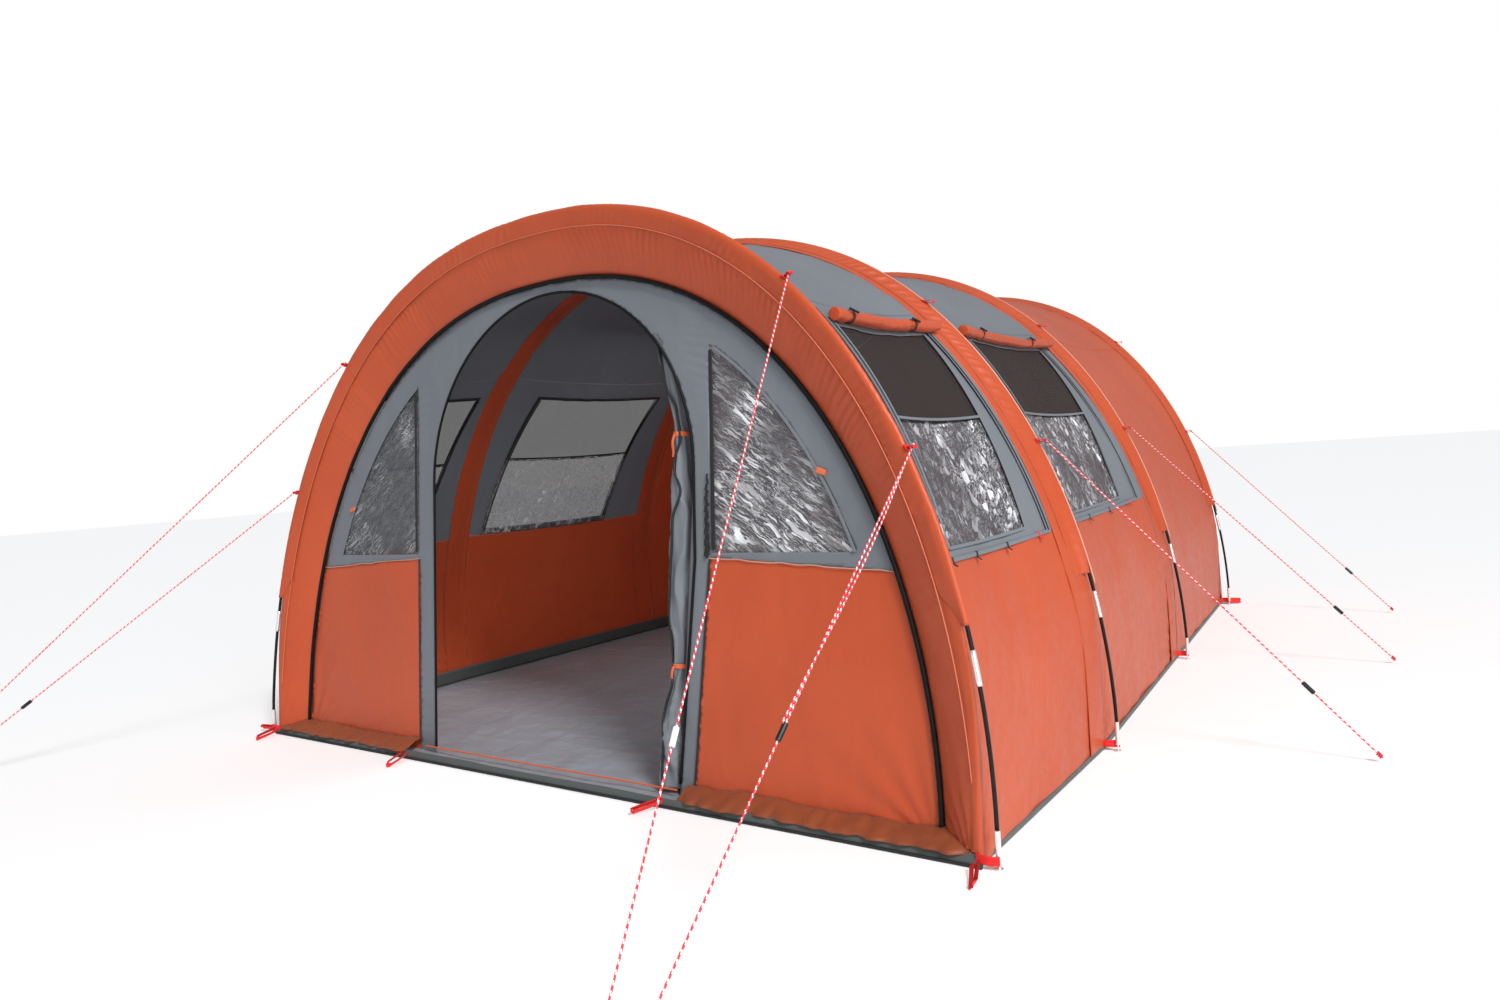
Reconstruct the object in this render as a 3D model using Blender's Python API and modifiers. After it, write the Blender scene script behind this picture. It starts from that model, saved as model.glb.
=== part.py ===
"""Tunnel tent on four bent poles, with an open doorway, side windows and guy lines.

Metres, +Z up. The origin is on the ground, at the middle of the floor.
+Y runs from the doorway to the back, and +X is on the right of someone facing the doorway.
"""
import math

import bpy
from mathutils import Matrix, Vector

# Driving dimensions: the four pole arches
HALF_WIDTH = 1.70
HEIGHT = 1.988
SIDE_POWER = 0.883
TOP_POWER = 0.974
ARCH_Y = (-2.30, -1.24, 0.25, 1.83)
ARCH_WIDTH = (1.0, 1.016, 0.985, 0.953)
ARCH_HEIGHT = (1.0, 1.011, 1.026, 1.042)
ARCH_LEAN = (0.179, 0.021, -0.079, -0.040)
POLE_RADIUS = 0.006
POLE_POINTS = 40
FERRULE_LENGTH = 0.10
FERRULE_RADIUS = 0.0075
POLE_START = 0.1015
PIN_RADIUS = 0.003
FOOT_RADIUS = 0.011

# Fabric
FABRIC = 0.004
TOUCH_GAP = 0.001
SKIN_INSET = 0.014
LEG_GAP = 0.036
SLEEVE_END_HEIGHT = 0.588
SLEEVE_WIDTH = 0.056
SLEEVE_FABRIC = 0.002
SLEEVE_EDGE = -0.0065
SLEEVE_CREST = 0.0100
BAY_SAG = 0.018
BAY_TRIM = 0.009
HEM_LIFT = 0.004
ROOF_ANGLE = 0.90

# Side windows, as fractions of a bay's length and angles up the arch
WINDOW_FRONT = 0.12
WINDOW_BACK = 0.74
WINDOW_LOW = 0.40
WINDOW_HIGH = 0.83
WINDOW_LAP = 0.012
COVER_RADIUS = 0.023
COVER_ANGLE = 0.842
COVER_FRONT = 0.16
COVER_BACK = 0.90
ZIP_PLACE = 0.84
ZIP_ANGLE = 0.60
ZIP_SWING = 0.12
WINDOW_CELLS_ALONG = 4
WINDOW_CELLS_UP = 7
WALL_CELLS_BELOW = 4

# Front wall, drawn flat and then leant back with the front pole
FRONT_SETBACK = 0.08
PIPING_HALF_WIDTH = 1.52
PIPING_HEIGHT = 1.77
DOOR_LEFT = -0.63
DOOR_RIGHT = 0.69
DOOR_RIGHT_FOOT = 0.61
DOOR_TOP = 1.73
COLUMN_LEFT = -0.73
COLUMN_RIGHT = 0.75
COLUMN_RIGHT_FOOT = 0.67
PANEL_TOP = 0.77
PANEL_DROP = 0.035
WINDOW_SILL = 0.79
FRONT_WINDOW_MARGIN = 0.105
BROW_BULGE = 0.012
BROW_LIFT = 0.030
DOOR_SLIDER_ANGLE = 40.0

# Back wall and floor
BACK_DEPTH = 0.50
FLOOR_THICKNESS = 0.003
FLOOR_RIM = 0.06
FLOOR_SILL = 0.025

# Guy lines and their runners
LINE_RADIUS = 0.0025
LINE_POINTS = 22
UPPER_LOOP = 0.9168
LOWER_LOOP = 0.5570
LOOP_REACH = 0.030
LINE_END_HEIGHT = 0.012
RUNNER_LENGTH = 0.045
RUNNER_RADIUS = 0.007
RUNNER_BORE = 0.0034

# name: arch, side, loop angle, place of the far end on the ground, runner's place down the line
GUY_LINES = {
    "front_right_upper": (0, 1, UPPER_LOOP, (1.345, -3.37), 0.70),
    "front_right_lower": (0, 1, LOWER_LOOP, (1.43, -3.39), 0.56),
    "front_left_upper": (0, -1, UPPER_LOOP, (-2.40, -3.44), 0.80),
    "front_left_lower": (0, -1, LOWER_LOOP, (-2.44, -3.32), 0.76),
    "right_second": (1, 1, LOWER_LOOP - 0.01, (2.47, -1.06), 0.80),
    "right_third": (2, 1, LOWER_LOOP, (2.48, 0.39), 0.80),
    "right_fourth": (3, 1, LOWER_LOOP - 0.03, (2.45, 1.68), 0.80),
}

ORANGE = (0.56, 0.13, 0.06)
GREY = (0.24, 0.27, 0.30)
CLEAR = (0.45, 0.47, 0.48)
BLACK = (0.012, 0.012, 0.013)
SILVER = (0.70, 0.70, 0.70)
ROPE = (0.72, 0.20, 0.20)
WHITE = (0.85, 0.85, 0.83)


def clear_scene():
    for thing in list(bpy.data.objects):
        bpy.data.objects.remove(thing, do_unlink=True)


def new_collection(name):
    group = bpy.data.collections.new(name)
    bpy.context.scene.collection.children.link(group)
    return group


def make_material(name, color, roughness, metallic=0.0):
    material = bpy.data.materials.new(name)
    material.use_nodes = True
    shader = material.node_tree.nodes["Principled BSDF"]
    shader.inputs["Base Color"].default_value = (*color, 1.0)
    shader.inputs["Roughness"].default_value = roughness
    shader.inputs["Metallic"].default_value = metallic
    return material


def add_object(name, data, color, roughness=0.8, metallic=0.0):
    node = bpy.data.objects.new(name, data)
    PARTS.objects.link(node)
    data.materials.clear()
    data.materials.append(make_material(name, color, roughness, metallic))
    return node


def steps(low, high, count):
    return [low + (high - low) * i / count for i in range(count + 1)]


# The arches and the fabric surface between them

def arch_point(arch, angle):
    """Centre of a pole: angle 0 is its right foot, pi its left foot."""
    across = math.copysign(abs(math.cos(angle)) ** SIDE_POWER, math.cos(angle))
    x = HALF_WIDTH * ARCH_WIDTH[arch] * across
    z = HEIGHT * ARCH_HEIGHT[arch] * max(math.sin(angle), 0.0) ** TOP_POWER
    return Vector((x, ARCH_Y[arch] + ARCH_LEAN[arch] * z / HEIGHT, z))


def arch_back(arch):
    """Direction square to the plane of an arch, towards the back."""
    return Vector((0.0, 1.0, -ARCH_LEAN[arch] / HEIGHT)).normalized()


def arch_outward(arch, angle):
    """Direction out of the tent at a point of an arch, in the arch's own plane."""
    reach = 0.01
    low = arch_point(arch, max(angle - reach, 0.0))
    high = arch_point(arch, min(angle + reach, math.pi))
    return arch_back(arch).cross(high - low).normalized()


def skin_on_arch(arch, angle):
    """Outer face of the fabric where it passes under a pole: it hangs clear of the bare legs."""
    point = arch_point(arch, angle) - arch_outward(arch, angle) * SKIN_INSET
    rise = min(max(point.z / SLEEVE_END_HEIGHT, 0.0), 1.0)
    hang = LEG_GAP * (1.0 - rise * rise * (3.0 - 2.0 * rise))
    point.x -= math.copysign(hang, point.x)
    point.z = max(point.z, HEM_LIFT)
    return point


def skin_in_bay(bay, place, angle):
    """Outer face of the fabric between two arches, drawn in a little at the middle."""
    front = skin_on_arch(bay, angle)
    back = skin_on_arch(bay + 1, angle)
    point = front.lerp(back, place)
    waist = 1.0 - BAY_SAG * 4.0 * place * (1.0 - place)
    rise = min(point.z / SLEEVE_END_HEIGHT, 1.0)
    point.x *= 1.0 + (waist - 1.0) * rise
    point.z *= 1.0 + (waist - 1.0) * rise
    return point


def bay_trim(bay):
    """Fraction of a bay's length that its fabric keeps clear of each arch."""
    return BAY_TRIM / (ARCH_Y[bay + 1] - ARCH_Y[bay])


# Builders of solids

def sheet_mesh(name, rows, outward, holes=()):
    """Open surface through rows of points, facing the given way, without the cells in holes."""
    width = len(rows[0])
    points = [point for row in rows for point in row]
    faces = []
    for i in range(len(rows) - 1):
        for j in range(width - 1):
            if (i, j) in holes:
                continue
            a = i * width + j
            faces.append((a, a + 1, a + width + 1, a + width))
    mesh = bpy.data.meshes.new(name)
    mesh.from_pydata(points, [], faces)
    mesh.update()
    if mesh.polygons[0].normal.dot(outward) < 0.0:
        mesh.flip_normals()
    return mesh


def add_sheet(name, mesh, color, thickness=FABRIC, roughness=0.8):
    mesh.shade_smooth()
    node = add_object(name, mesh, color, roughness)
    shell = node.modifiers.new("fabric", "SOLIDIFY")
    shell.thickness = thickness
    shell.offset = -1.0
    shell.use_even_offset = True
    return node


def add_tube(name, points, radius, color, sides=2, radii=None, roughness=0.5, metallic=0.0):
    curve = bpy.data.curves.new(name, "CURVE")
    curve.dimensions = "3D"
    curve.bevel_depth = radius
    curve.bevel_resolution = sides
    curve.use_fill_caps = True
    spline = curve.splines.new("POLY")
    spline.points.add(len(points) - 1)
    spline.use_smooth = True
    for i, point in enumerate(points):
        spline.points[i].co = (*point, 1.0)
        if radii:
            spline.points[i].radius = radii[i]
    return add_object(name, curve, color, roughness, metallic)


def add_turned(name, profile, color, roughness=0.4, metallic=0.0, closed=False, sides=12):
    """A profile of (radius, height) points turned about Z, running from the top to the bottom."""
    mesh = bpy.data.meshes.new(name)
    edges = [(i, i + 1) for i in range(len(profile) - 1)]
    if closed:
        edges.append((len(profile) - 1, 0))
    mesh.from_pydata([(r, 0.0, z) for r, z in profile], edges, [])
    node = add_object(name, mesh, color, roughness, metallic)
    turn = node.modifiers.new("turn", "SCREW")
    turn.axis = "Z"
    turn.angle = 2.0 * math.pi
    turn.steps = sides
    turn.render_steps = sides
    turn.use_merge_vertices = True
    turn.merge_threshold = 0.00001
    turn.use_smooth_shade = True
    return node


def add_plate(name, outlines, color, thickness=FABRIC, roughness=0.8):
    """Flat outlines in (across, up), the first with the rest as its holes, set in the front wall."""
    curve = bpy.data.curves.new(name, "CURVE")
    curve.dimensions = "2D"
    curve.fill_mode = "BOTH"
    curve.extrude = thickness / 2.0
    for outline in outlines:
        spline = curve.splines.new("POLY")
        spline.points.add(len(outline) - 1)
        spline.use_cyclic_u = True
        for i, (across, up) in enumerate(outline):
            spline.points[i].co = (across, up, 0.0, 1.0)
    node = add_object(name, curve, color, roughness)
    node.matrix_world = front_matrix()
    return node


# Pieces

def add_poles():
    for arch in range(len(ARCH_Y)):
        foot = math.asin(POLE_START / (HEIGHT * ARCH_HEIGHT[arch]))
        angles = steps(foot, math.pi - foot, POLE_POINTS)
        points = [arch_point(arch, angle) for angle in angles]
        for end in (0, -1):
            points[end].z = POLE_START
        add_tube(f"pole_{arch + 1}", points, POLE_RADIUS, BLACK, sides=1, roughness=0.35)
        for side, label in ((1, "right"), (-1, "left")):
            add_pole_foot(f"pole_foot_{label}_{arch + 1}", points[0 if side > 0 else -1])


def add_pole_foot(name, pole_end):
    """Metal ferrule with the pin that it stands on."""
    profile = [
        (0.0, FERRULE_LENGTH),
        (FERRULE_RADIUS, FERRULE_LENGTH),
        (FERRULE_RADIUS, 0.022),
        (PIN_RADIUS, 0.020),
        (PIN_RADIUS, 0.004),
        (FOOT_RADIUS, 0.003),
        (FOOT_RADIUS, 0.0),
        (0.0, 0.0),
    ]
    foot = add_turned(name, profile, SILVER, 0.25, 1.0)
    foot.location = (pole_end.x, pole_end.y, 0.0)


def add_sleeves():
    """Domed strips of fabric that hold the poles above the bare legs."""
    across = steps(-1.0, 1.0, 6)
    for arch in range(len(ARCH_Y)):
        end = math.asin(SLEEVE_END_HEIGHT / (HEIGHT * ARCH_HEIGHT[arch]))
        back = arch_back(arch)
        rows = []
        for angle in steps(end, math.pi - end, 32):
            middle = arch_point(arch, angle)
            outward = arch_outward(arch, angle)
            row = []
            for place in across:
                rise = SLEEVE_EDGE + (SLEEVE_CREST - SLEEVE_EDGE) * math.cos(place * math.pi / 2.0)
                row.append(middle + outward * rise + back * (place * SLEEVE_WIDTH / 2.0))
            rows.append(row)
        mesh = sheet_mesh(f"sleeve_{arch + 1}", rows, arch_outward(arch, end))
        add_sheet(f"sleeve_{arch + 1}", mesh, ORANGE, SLEEVE_FABRIC)


def mirrored(rows):
    return [[Vector((-p.x, p.y, p.z)) for p in row] for row in rows]


def wall_grid(bay):
    """Places along a bay and angles up the arch, with lines on the window's edges."""
    trim = bay_trim(bay)
    places = [trim]
    places += steps(WINDOW_FRONT, WINDOW_BACK, WINDOW_CELLS_ALONG)
    places += [(WINDOW_BACK + 1.0) / 2.0, 1.0 - trim]
    angles = steps(0.0, WINDOW_LOW, WALL_CELLS_BELOW)
    angles += steps(WINDOW_LOW, WINDOW_HIGH, WINDOW_CELLS_UP)[1:]
    angles.append(ROOF_ANGLE - TOUCH_GAP)
    return places, angles


def add_walls():
    for bay in range(3):
        places, angles = wall_grid(bay)
        rows = [[skin_in_bay(bay, place, angle) for place in places] for angle in angles]
        holes = set()
        if bay < 2:
            up = range(WALL_CELLS_BELOW, WALL_CELLS_BELOW + WINDOW_CELLS_UP)
            along = range(1, 1 + WINDOW_CELLS_ALONG)
            holes = {(i, j) for i in up for j in along}
        right = sheet_mesh(f"wall_right_{bay + 1}", rows, Vector((1, 0, 0)), holes)
        add_sheet(f"wall_right_{bay + 1}", right, ORANGE)
        left = sheet_mesh(f"wall_left_{bay + 1}", mirrored(rows), Vector((-1, 0, 0)), holes)
        add_sheet(f"wall_left_{bay + 1}", left, ORANGE)


def add_roofs():
    for bay in range(3):
        trim = bay_trim(bay)
        angles = steps(ROOF_ANGLE, math.pi - ROOF_ANGLE, 12)
        places = steps(trim, 1.0 - trim, 4)
        rows = [[skin_in_bay(bay, place, angle) for place in places] for angle in angles]
        mesh = sheet_mesh(f"roof_{bay + 1}", rows, Vector((1, 0, 1)))
        add_sheet(f"roof_{bay + 1}", mesh, GREY if bay < 2 else ORANGE)


def inward_rows(rows, depth):
    """The rows moved square to their own surface, towards the inside of the tent."""
    moved = []
    for i, row in enumerate(rows):
        up = rows[min(i + 1, len(rows) - 1)]
        down = rows[max(i - 1, 0)]
        line = []
        for j, point in enumerate(row):
            along = row[min(j + 1, len(row) - 1)] - row[max(j - 1, 0)]
            rise = up[j] - down[j]
            line.append(point - along.cross(rise).normalized() * depth)
        moved.append(line)
    return moved


def add_side_windows():
    """Mesh above and clear film below, sewn behind the opening of each wall."""
    for bay in range(2):
        places = [WINDOW_FRONT - WINDOW_LAP]
        places += steps(WINDOW_FRONT, WINDOW_BACK, WINDOW_CELLS_ALONG)[1:-1]
        places.append(WINDOW_BACK + WINDOW_LAP)
        angles = [WINDOW_LOW - WINDOW_LAP]
        angles += steps(WINDOW_LOW, WINDOW_HIGH, WINDOW_CELLS_UP)[1:-1]
        angles.append(WINDOW_HIGH + WINDOW_LAP)
        rows = [[skin_in_bay(bay, place, angle) for place in places] for angle in angles]
        rows = inward_rows(rows, FABRIC + 0.0025)
        right = sheet_mesh(f"window_right_{bay + 1}", rows, Vector((1, 0, 0)))
        add_sheet(f"window_right_{bay + 1}", right, CLEAR, 0.002, 0.2)
        left = sheet_mesh(f"window_left_{bay + 1}", mirrored(rows), Vector((-1, 0, 0)))
        add_sheet(f"window_left_{bay + 1}", left, CLEAR, 0.002, 0.2)


def add_window_covers():
    """Fabric covers, rolled up and held by toggles above the side windows."""
    for bay in range(2):
        points = []
        for place in steps(COVER_FRONT, COVER_BACK, 8):
            point = skin_in_bay(bay, place, COVER_ANGLE)
            outward = arch_outward(bay, COVER_ANGLE)
            points.append(point + outward * (COVER_RADIUS + 0.003))
        add_tube(f"window_cover_right_{bay + 1}", points, COVER_RADIUS, ORANGE, 3, roughness=0.8)
        left = [Vector((-p.x, p.y, p.z)) for p in points]
        add_tube(f"window_cover_left_{bay + 1}", left, COVER_RADIUS, ORANGE, 3, roughness=0.8)


def front_matrix():
    """Places drawings in (across, up) on the front wall, which leans back with the front pole."""
    lean = math.atan(ARCH_LEAN[0] / HEIGHT)
    turn = Matrix.Rotation(math.pi / 2.0 - lean, 4, "X")
    return Matrix.Translation((0.0, ARCH_Y[0] + FRONT_SETBACK, 0.0)) @ turn


def piping_point(angle, inset=0.0):
    """Point (across, up) on the zip that runs round the front wall."""
    across = math.copysign(abs(math.cos(angle)) ** SIDE_POWER, math.cos(angle))
    up = max(math.sin(angle), 0.0) ** TOP_POWER
    return ((PIPING_HALF_WIDTH - inset) * across, (PIPING_HEIGHT - inset) * up)


def angle_at_height(up, inset=0.0):
    return math.asin((up / (PIPING_HEIGHT - inset)) ** (1.0 / TOP_POWER))


def door_centre():
    radius = (DOOR_RIGHT - DOOR_LEFT) / 2.0
    return (DOOR_LEFT + DOOR_RIGHT) / 2.0, DOOR_TOP - radius, radius


def door_arc():
    """Top of the doorway, from its right side over to its left."""
    middle, spring, radius = door_centre()
    arc = []
    for angle in steps(0.0, math.pi, 16):
        arc.append((middle + radius * math.cos(angle), spring + radius * math.sin(angle)))
    return arc


def front_window_outline(side, grow=0.0):
    """Outline of a clear front window: upright at the door, curved on the outside."""
    inset = FRONT_WINDOW_MARGIN - grow
    post = (COLUMN_RIGHT if side > 0 else -COLUMN_LEFT) + 0.008 - grow
    sill = WINDOW_SILL - grow
    low = angle_at_height(sill, inset)
    high = low
    while piping_point(high, inset)[0] > post:
        high += 0.001
    outline = [(post, sill)]
    outline += [piping_point(angle, inset) for angle in steps(low, high, 10)]
    return [(side * across, up) for across, up in outline]


def add_front_wall():
    lower = angle_at_height(PANEL_TOP - PANEL_DROP, TOUCH_GAP)
    outline = [(COLUMN_RIGHT_FOOT, HEM_LIFT), (COLUMN_RIGHT, PANEL_TOP)]
    outline += [piping_point(angle, TOUCH_GAP) for angle in steps(lower, math.pi - lower, 32)]
    outline += [(COLUMN_LEFT, PANEL_TOP), (COLUMN_LEFT, HEM_LIFT), (DOOR_LEFT, HEM_LIFT)]
    outline += reversed(door_arc())
    outline += [(DOOR_RIGHT_FOOT, HEM_LIFT)]
    holes = [front_window_outline(side) for side in (1, -1)]
    add_plate("front_frame", [outline] + holes, GREY)
    posts = ((1, "right", COLUMN_RIGHT, COLUMN_RIGHT_FOOT), (-1, "left", -COLUMN_LEFT, -COLUMN_LEFT))
    for side, label, post, post_foot in posts:
        low = angle_at_height(HEM_LIFT, TOUCH_GAP)
        high = angle_at_height(PANEL_TOP - PANEL_DROP - TOUCH_GAP, TOUCH_GAP)
        panel = [(post + TOUCH_GAP, PANEL_TOP - TOUCH_GAP), (post_foot + TOUCH_GAP, HEM_LIFT)]
        panel += [piping_point(angle, TOUCH_GAP) for angle in steps(low, high, 8)]
        add_plate(f"front_panel_{label}", [[(side * a, u) for a, u in panel]], ORANGE)
        pane = front_window_outline(side, 0.012)
        window = add_plate(f"front_window_{label}", [pane], CLEAR, 0.002, 0.2)
        window.matrix_world = front_matrix() @ Matrix.Translation((0.0, 0.0, -0.004))


def add_brow_band():
    """Fabric band between the front pole and the zip round the front wall."""
    place = front_matrix()
    rows = []
    low = angle_at_height(BROW_LIFT)
    for angle in steps(low, math.pi - low, 36):
        outer = skin_on_arch(0, angle)
        outer.z = max(outer.z, BROW_LIFT)
        across, up = piping_point(angle, -TOUCH_GAP)
        inner = place @ Vector((across, up, 0.0))
        row = []
        for part in steps(0.0, 1.0, 3):
            bulge = BROW_BULGE * 4.0 * part * (1.0 - part)
            row.append(outer.lerp(inner, part) + Vector((0.0, -bulge, 0.0)))
        rows.append(row)
    mesh = sheet_mesh("brow_band", rows, Vector((0, -1, 0)))
    add_sheet("brow_band", mesh, ORANGE)


def back_line(angle):
    """Top of the back wall on the last arch, and the place on the ground that it slopes to."""
    top = skin_on_arch(3, angle) + Vector((0, BAY_TRIM, 0))
    across = skin_on_arch(3, 0.0).x * math.cos(angle)
    depth = BACK_DEPTH * math.sin(angle) ** 0.6
    return top, Vector((across, top.y + depth, HEM_LIFT))


def add_back_wall():
    """Fabric from the last pole down to a rounded edge on the ground behind it."""
    points = [skin_on_arch(3, 0.0) + Vector((0, BAY_TRIM, 0))]
    columns = steps(0.0, math.pi, 20)[1:-1]
    levels = steps(0.0, 1.0, 5)
    for angle in columns:
        top, base = back_line(angle)
        for level in levels:
            bulge = 0.04 * math.sin(math.pi * level) * math.sin(angle)
            points.append(top.lerp(base, level) + Vector((0, bulge, bulge)))
    points.append(skin_on_arch(3, math.pi) + Vector((0, BAY_TRIM, 0)))
    height = len(levels)
    last = len(points) - 1
    faces = []
    for j in range(height - 1):
        faces.append((0, 1 + j, 2 + j))
        faces.append((last, last - height + j + 1, last - height + j))
        for i in range(len(columns) - 1):
            a = 1 + i * height + j
            faces.append((a, a + height, a + height + 1, a + 1))
    mesh = bpy.data.meshes.new("back_wall")
    mesh.from_pydata(points, [], faces)
    mesh.update()
    add_sheet("back_wall", mesh, ORANGE)


def floor_outline():
    """Edge of the floor, just inside the fabric, from the front right corner round the back."""
    inset = FABRIC + 0.004
    side = []
    for bay in range(3):
        for place in steps(0.0, 1.0, 3)[:-1]:
            point = skin_in_bay(bay, place, 0.0)
            side.append((point.x - inset, point.y))
    last = skin_on_arch(3, 0.0)
    side.append((last.x - inset, last.y))
    back = []
    for angle in steps(0.0, math.pi, 12)[2:-2]:
        top, base = back_line(angle)
        edge = base.lerp(top, 2.0 * FLOOR_RIM / top.z)
        back.append((edge.x * 0.99, edge.y - 0.02))
    left = [(-x, y) for x, y in reversed(side)]
    return side + back + left


def add_groundsheet():
    """Floor with its edges turned up, low across the front."""
    outline = floor_outline()
    wall = 0.003
    inner = []
    for i, point in enumerate(outline):
        before = Vector(outline[i - 1])
        after = Vector(outline[(i + 1) % len(outline)])
        edge = (after - before).normalized()
        inner.append(Vector(point) + Vector((-edge.y, edge.x)) * wall)
    for corner in (0, -1):
        inner[corner] = Vector((outline[corner][0] * (1.0 - wall / HALF_WIDTH), ARCH_Y[0] + wall))
    count = len(outline)
    heights = [FLOOR_SILL if i in (0, count - 1) else FLOOR_RIM for i in range(count)]
    points = [(x, y, 0.0) for x, y in outline]
    points += [(x, y, heights[i]) for i, (x, y) in enumerate(outline)]
    points += [(p.x, p.y, heights[i]) for i, p in enumerate(inner)]
    points += [(p.x, p.y, FLOOR_THICKNESS) for p in inner]
    faces = [tuple(reversed(range(count))), tuple(range(3 * count, 4 * count))]
    for ring in range(3):
        for i in range(count):
            j = (i + 1) % count
            a = ring * count
            faces.append((a + i, a + j, a + count + j, a + count + i))
    mesh = bpy.data.meshes.new("groundsheet")
    mesh.from_pydata(points, [], faces)
    mesh.update()
    add_object("groundsheet", mesh, GREY)


def add_door_bundle():
    """Door fabric, gathered and tied to the inside of the right door post."""
    route = [(0.530, 1.600), (0.615, 1.430), (0.650, 1.180), (0.650, 0.900),
             (0.635, 0.600), (0.620, 0.420), (0.600, 0.200), (0.590, 0.030)]
    radii = [0.35, 0.75, 0.55, 0.90, 0.85, 0.55, 0.95, 1.0]
    place = front_matrix() @ Matrix.Translation((0.0, 0.0, -0.048))
    points = [place @ Vector((across, up, 0.0)) for across, up in route]
    add_tube("door_bundle", points, 0.042, GREY, 3, radii, 0.8)


# Guy lines

def line_ends(name):
    arch, side, angle, ground, _ = GUY_LINES[name]
    if side < 0:
        angle = math.pi - angle
    top = arch_point(arch, angle)
    top += arch_outward(arch, angle) * LOOP_REACH
    return top, Vector((*ground, LINE_END_HEIGHT))


def add_guy_lines():
    for name, (_, _, _, _, place) in GUY_LINES.items():
        top, low = line_ends(name)
        points = [top.lerp(low, part) for part in steps(0.0, 1.0, LINE_POINTS)]
        add_tube(f"guy_line_{name}", points, LINE_RADIUS, ROPE, 2)
        add_runner(f"runner_{name}", top.lerp(low, place), (top - low).normalized())


def add_runner(name, location, direction):
    """Sleeve that slides on a guy line and tightens it."""
    half = RUNNER_LENGTH / 2.0
    edge = 0.0015
    profile = [
        (RUNNER_BORE, half),
        (RUNNER_RADIUS - edge, half),
        (RUNNER_RADIUS, half - edge),
        (RUNNER_RADIUS, edge - half),
        (RUNNER_RADIUS - edge, -half),
        (RUNNER_BORE, -half),
    ]
    color = WHITE if name.endswith("upper") else BLACK
    runner = add_turned(name, profile, color, 0.4, closed=True)
    runner.rotation_mode = "QUATERNION"
    runner.rotation_quaternion = direction.to_track_quat("Z", "Y")
    runner.location = location


# Zip sliders

def add_slider(name, matrix, pivot):
    """Zip slider with its pull, drawn flat with its length along Y and parented to its axis."""
    outline = [(-0.004, 0.012), (0.004, 0.012), (0.006, 0.006), (0.004, -0.004),
               (0.003, -0.034), (-0.003, -0.034), (-0.004, -0.004), (-0.006, 0.006)]
    curve = bpy.data.curves.new(name, "CURVE")
    curve.dimensions = "2D"
    curve.fill_mode = "BOTH"
    curve.extrude = 0.002
    spline = curve.splines.new("POLY")
    spline.points.add(len(outline) - 1)
    spline.use_cyclic_u = True
    for i, (across, up) in enumerate(outline):
        spline.points[i].co = (across, up, 0.0, 1.0)
    node = add_object(name, curve, BLACK, 0.4)
    holder = bpy.data.objects.new(f"{name}_axis", None)
    PARTS.objects.link(holder)
    holder.location = pivot
    node.parent = holder
    node.matrix_basis = Matrix.Translation(-pivot) @ matrix


def window_zip(bay):
    """Centre, axis and slider place of the zip beside a right side window, close to an arc."""
    places = [skin_in_bay(bay, ZIP_PLACE, ZIP_ANGLE + step) for step in (-ZIP_SWING, 0.0, ZIP_SWING)]
    low, middle, high = places
    across = (high - low).normalized()
    axis = (middle - low).cross(high - middle).normalized()
    chord = (high - low).length
    rise = (middle - (low + high) / 2.0).length
    radius = (chord * chord / 4.0 + rise * rise) / (2.0 * rise)
    outward = across.cross(axis).normalized()
    return middle - outward * radius, axis, middle, outward, across


def add_sliders():
    for bay in range(2):
        centre, _, middle, outward, along = window_zip(bay)
        side = along.cross(outward)
        frame = Matrix((side, along, outward)).transposed().to_4x4()
        frame.translation = middle + outward * 0.006
        add_slider(f"window_zip_slider_{bay + 1}", frame, centre)
    across, up, radius = door_centre()
    turn = Matrix.Rotation(math.radians(DOOR_SLIDER_ANGLE - 90.0), 4, "Z")
    ring = Matrix.Translation((0.0, radius + 0.016, 0.005))
    hub = front_matrix() @ Matrix.Translation((across, up, 0.0))
    along = Matrix.Rotation(math.pi / 2.0, 4, "Z")
    add_slider("door_zip_slider", hub @ turn @ ring @ along, hub.translation)


clear_scene()
PARTS = new_collection("tunnel_tent")
add_poles()
add_sleeves()
add_walls()
add_roofs()
add_side_windows()
add_window_covers()
add_front_wall()
add_brow_band()
add_back_wall()
add_groundsheet()
add_door_bundle()
add_guy_lines()
add_sliders()
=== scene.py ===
"""Looks of a tunnel tent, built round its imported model. Metres, +Z up, +Y from the doorway to the back.

The right side is the one on the right of someone facing the doorway.
"""

import math

import bpy
import numpy as np
from mathutils import Matrix, Vector, geometry


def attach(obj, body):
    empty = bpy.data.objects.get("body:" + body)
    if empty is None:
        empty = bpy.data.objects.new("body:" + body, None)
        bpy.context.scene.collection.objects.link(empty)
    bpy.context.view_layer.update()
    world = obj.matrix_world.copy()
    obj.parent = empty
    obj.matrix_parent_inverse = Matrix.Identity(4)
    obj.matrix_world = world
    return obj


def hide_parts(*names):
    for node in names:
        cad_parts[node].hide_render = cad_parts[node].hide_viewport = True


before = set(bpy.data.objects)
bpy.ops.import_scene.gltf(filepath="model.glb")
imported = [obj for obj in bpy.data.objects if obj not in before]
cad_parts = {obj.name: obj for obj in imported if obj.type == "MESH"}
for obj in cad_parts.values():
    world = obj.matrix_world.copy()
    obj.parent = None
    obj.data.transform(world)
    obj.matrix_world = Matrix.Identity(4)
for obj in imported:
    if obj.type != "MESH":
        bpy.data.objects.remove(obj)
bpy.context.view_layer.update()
scene = bpy.context.scene

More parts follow.
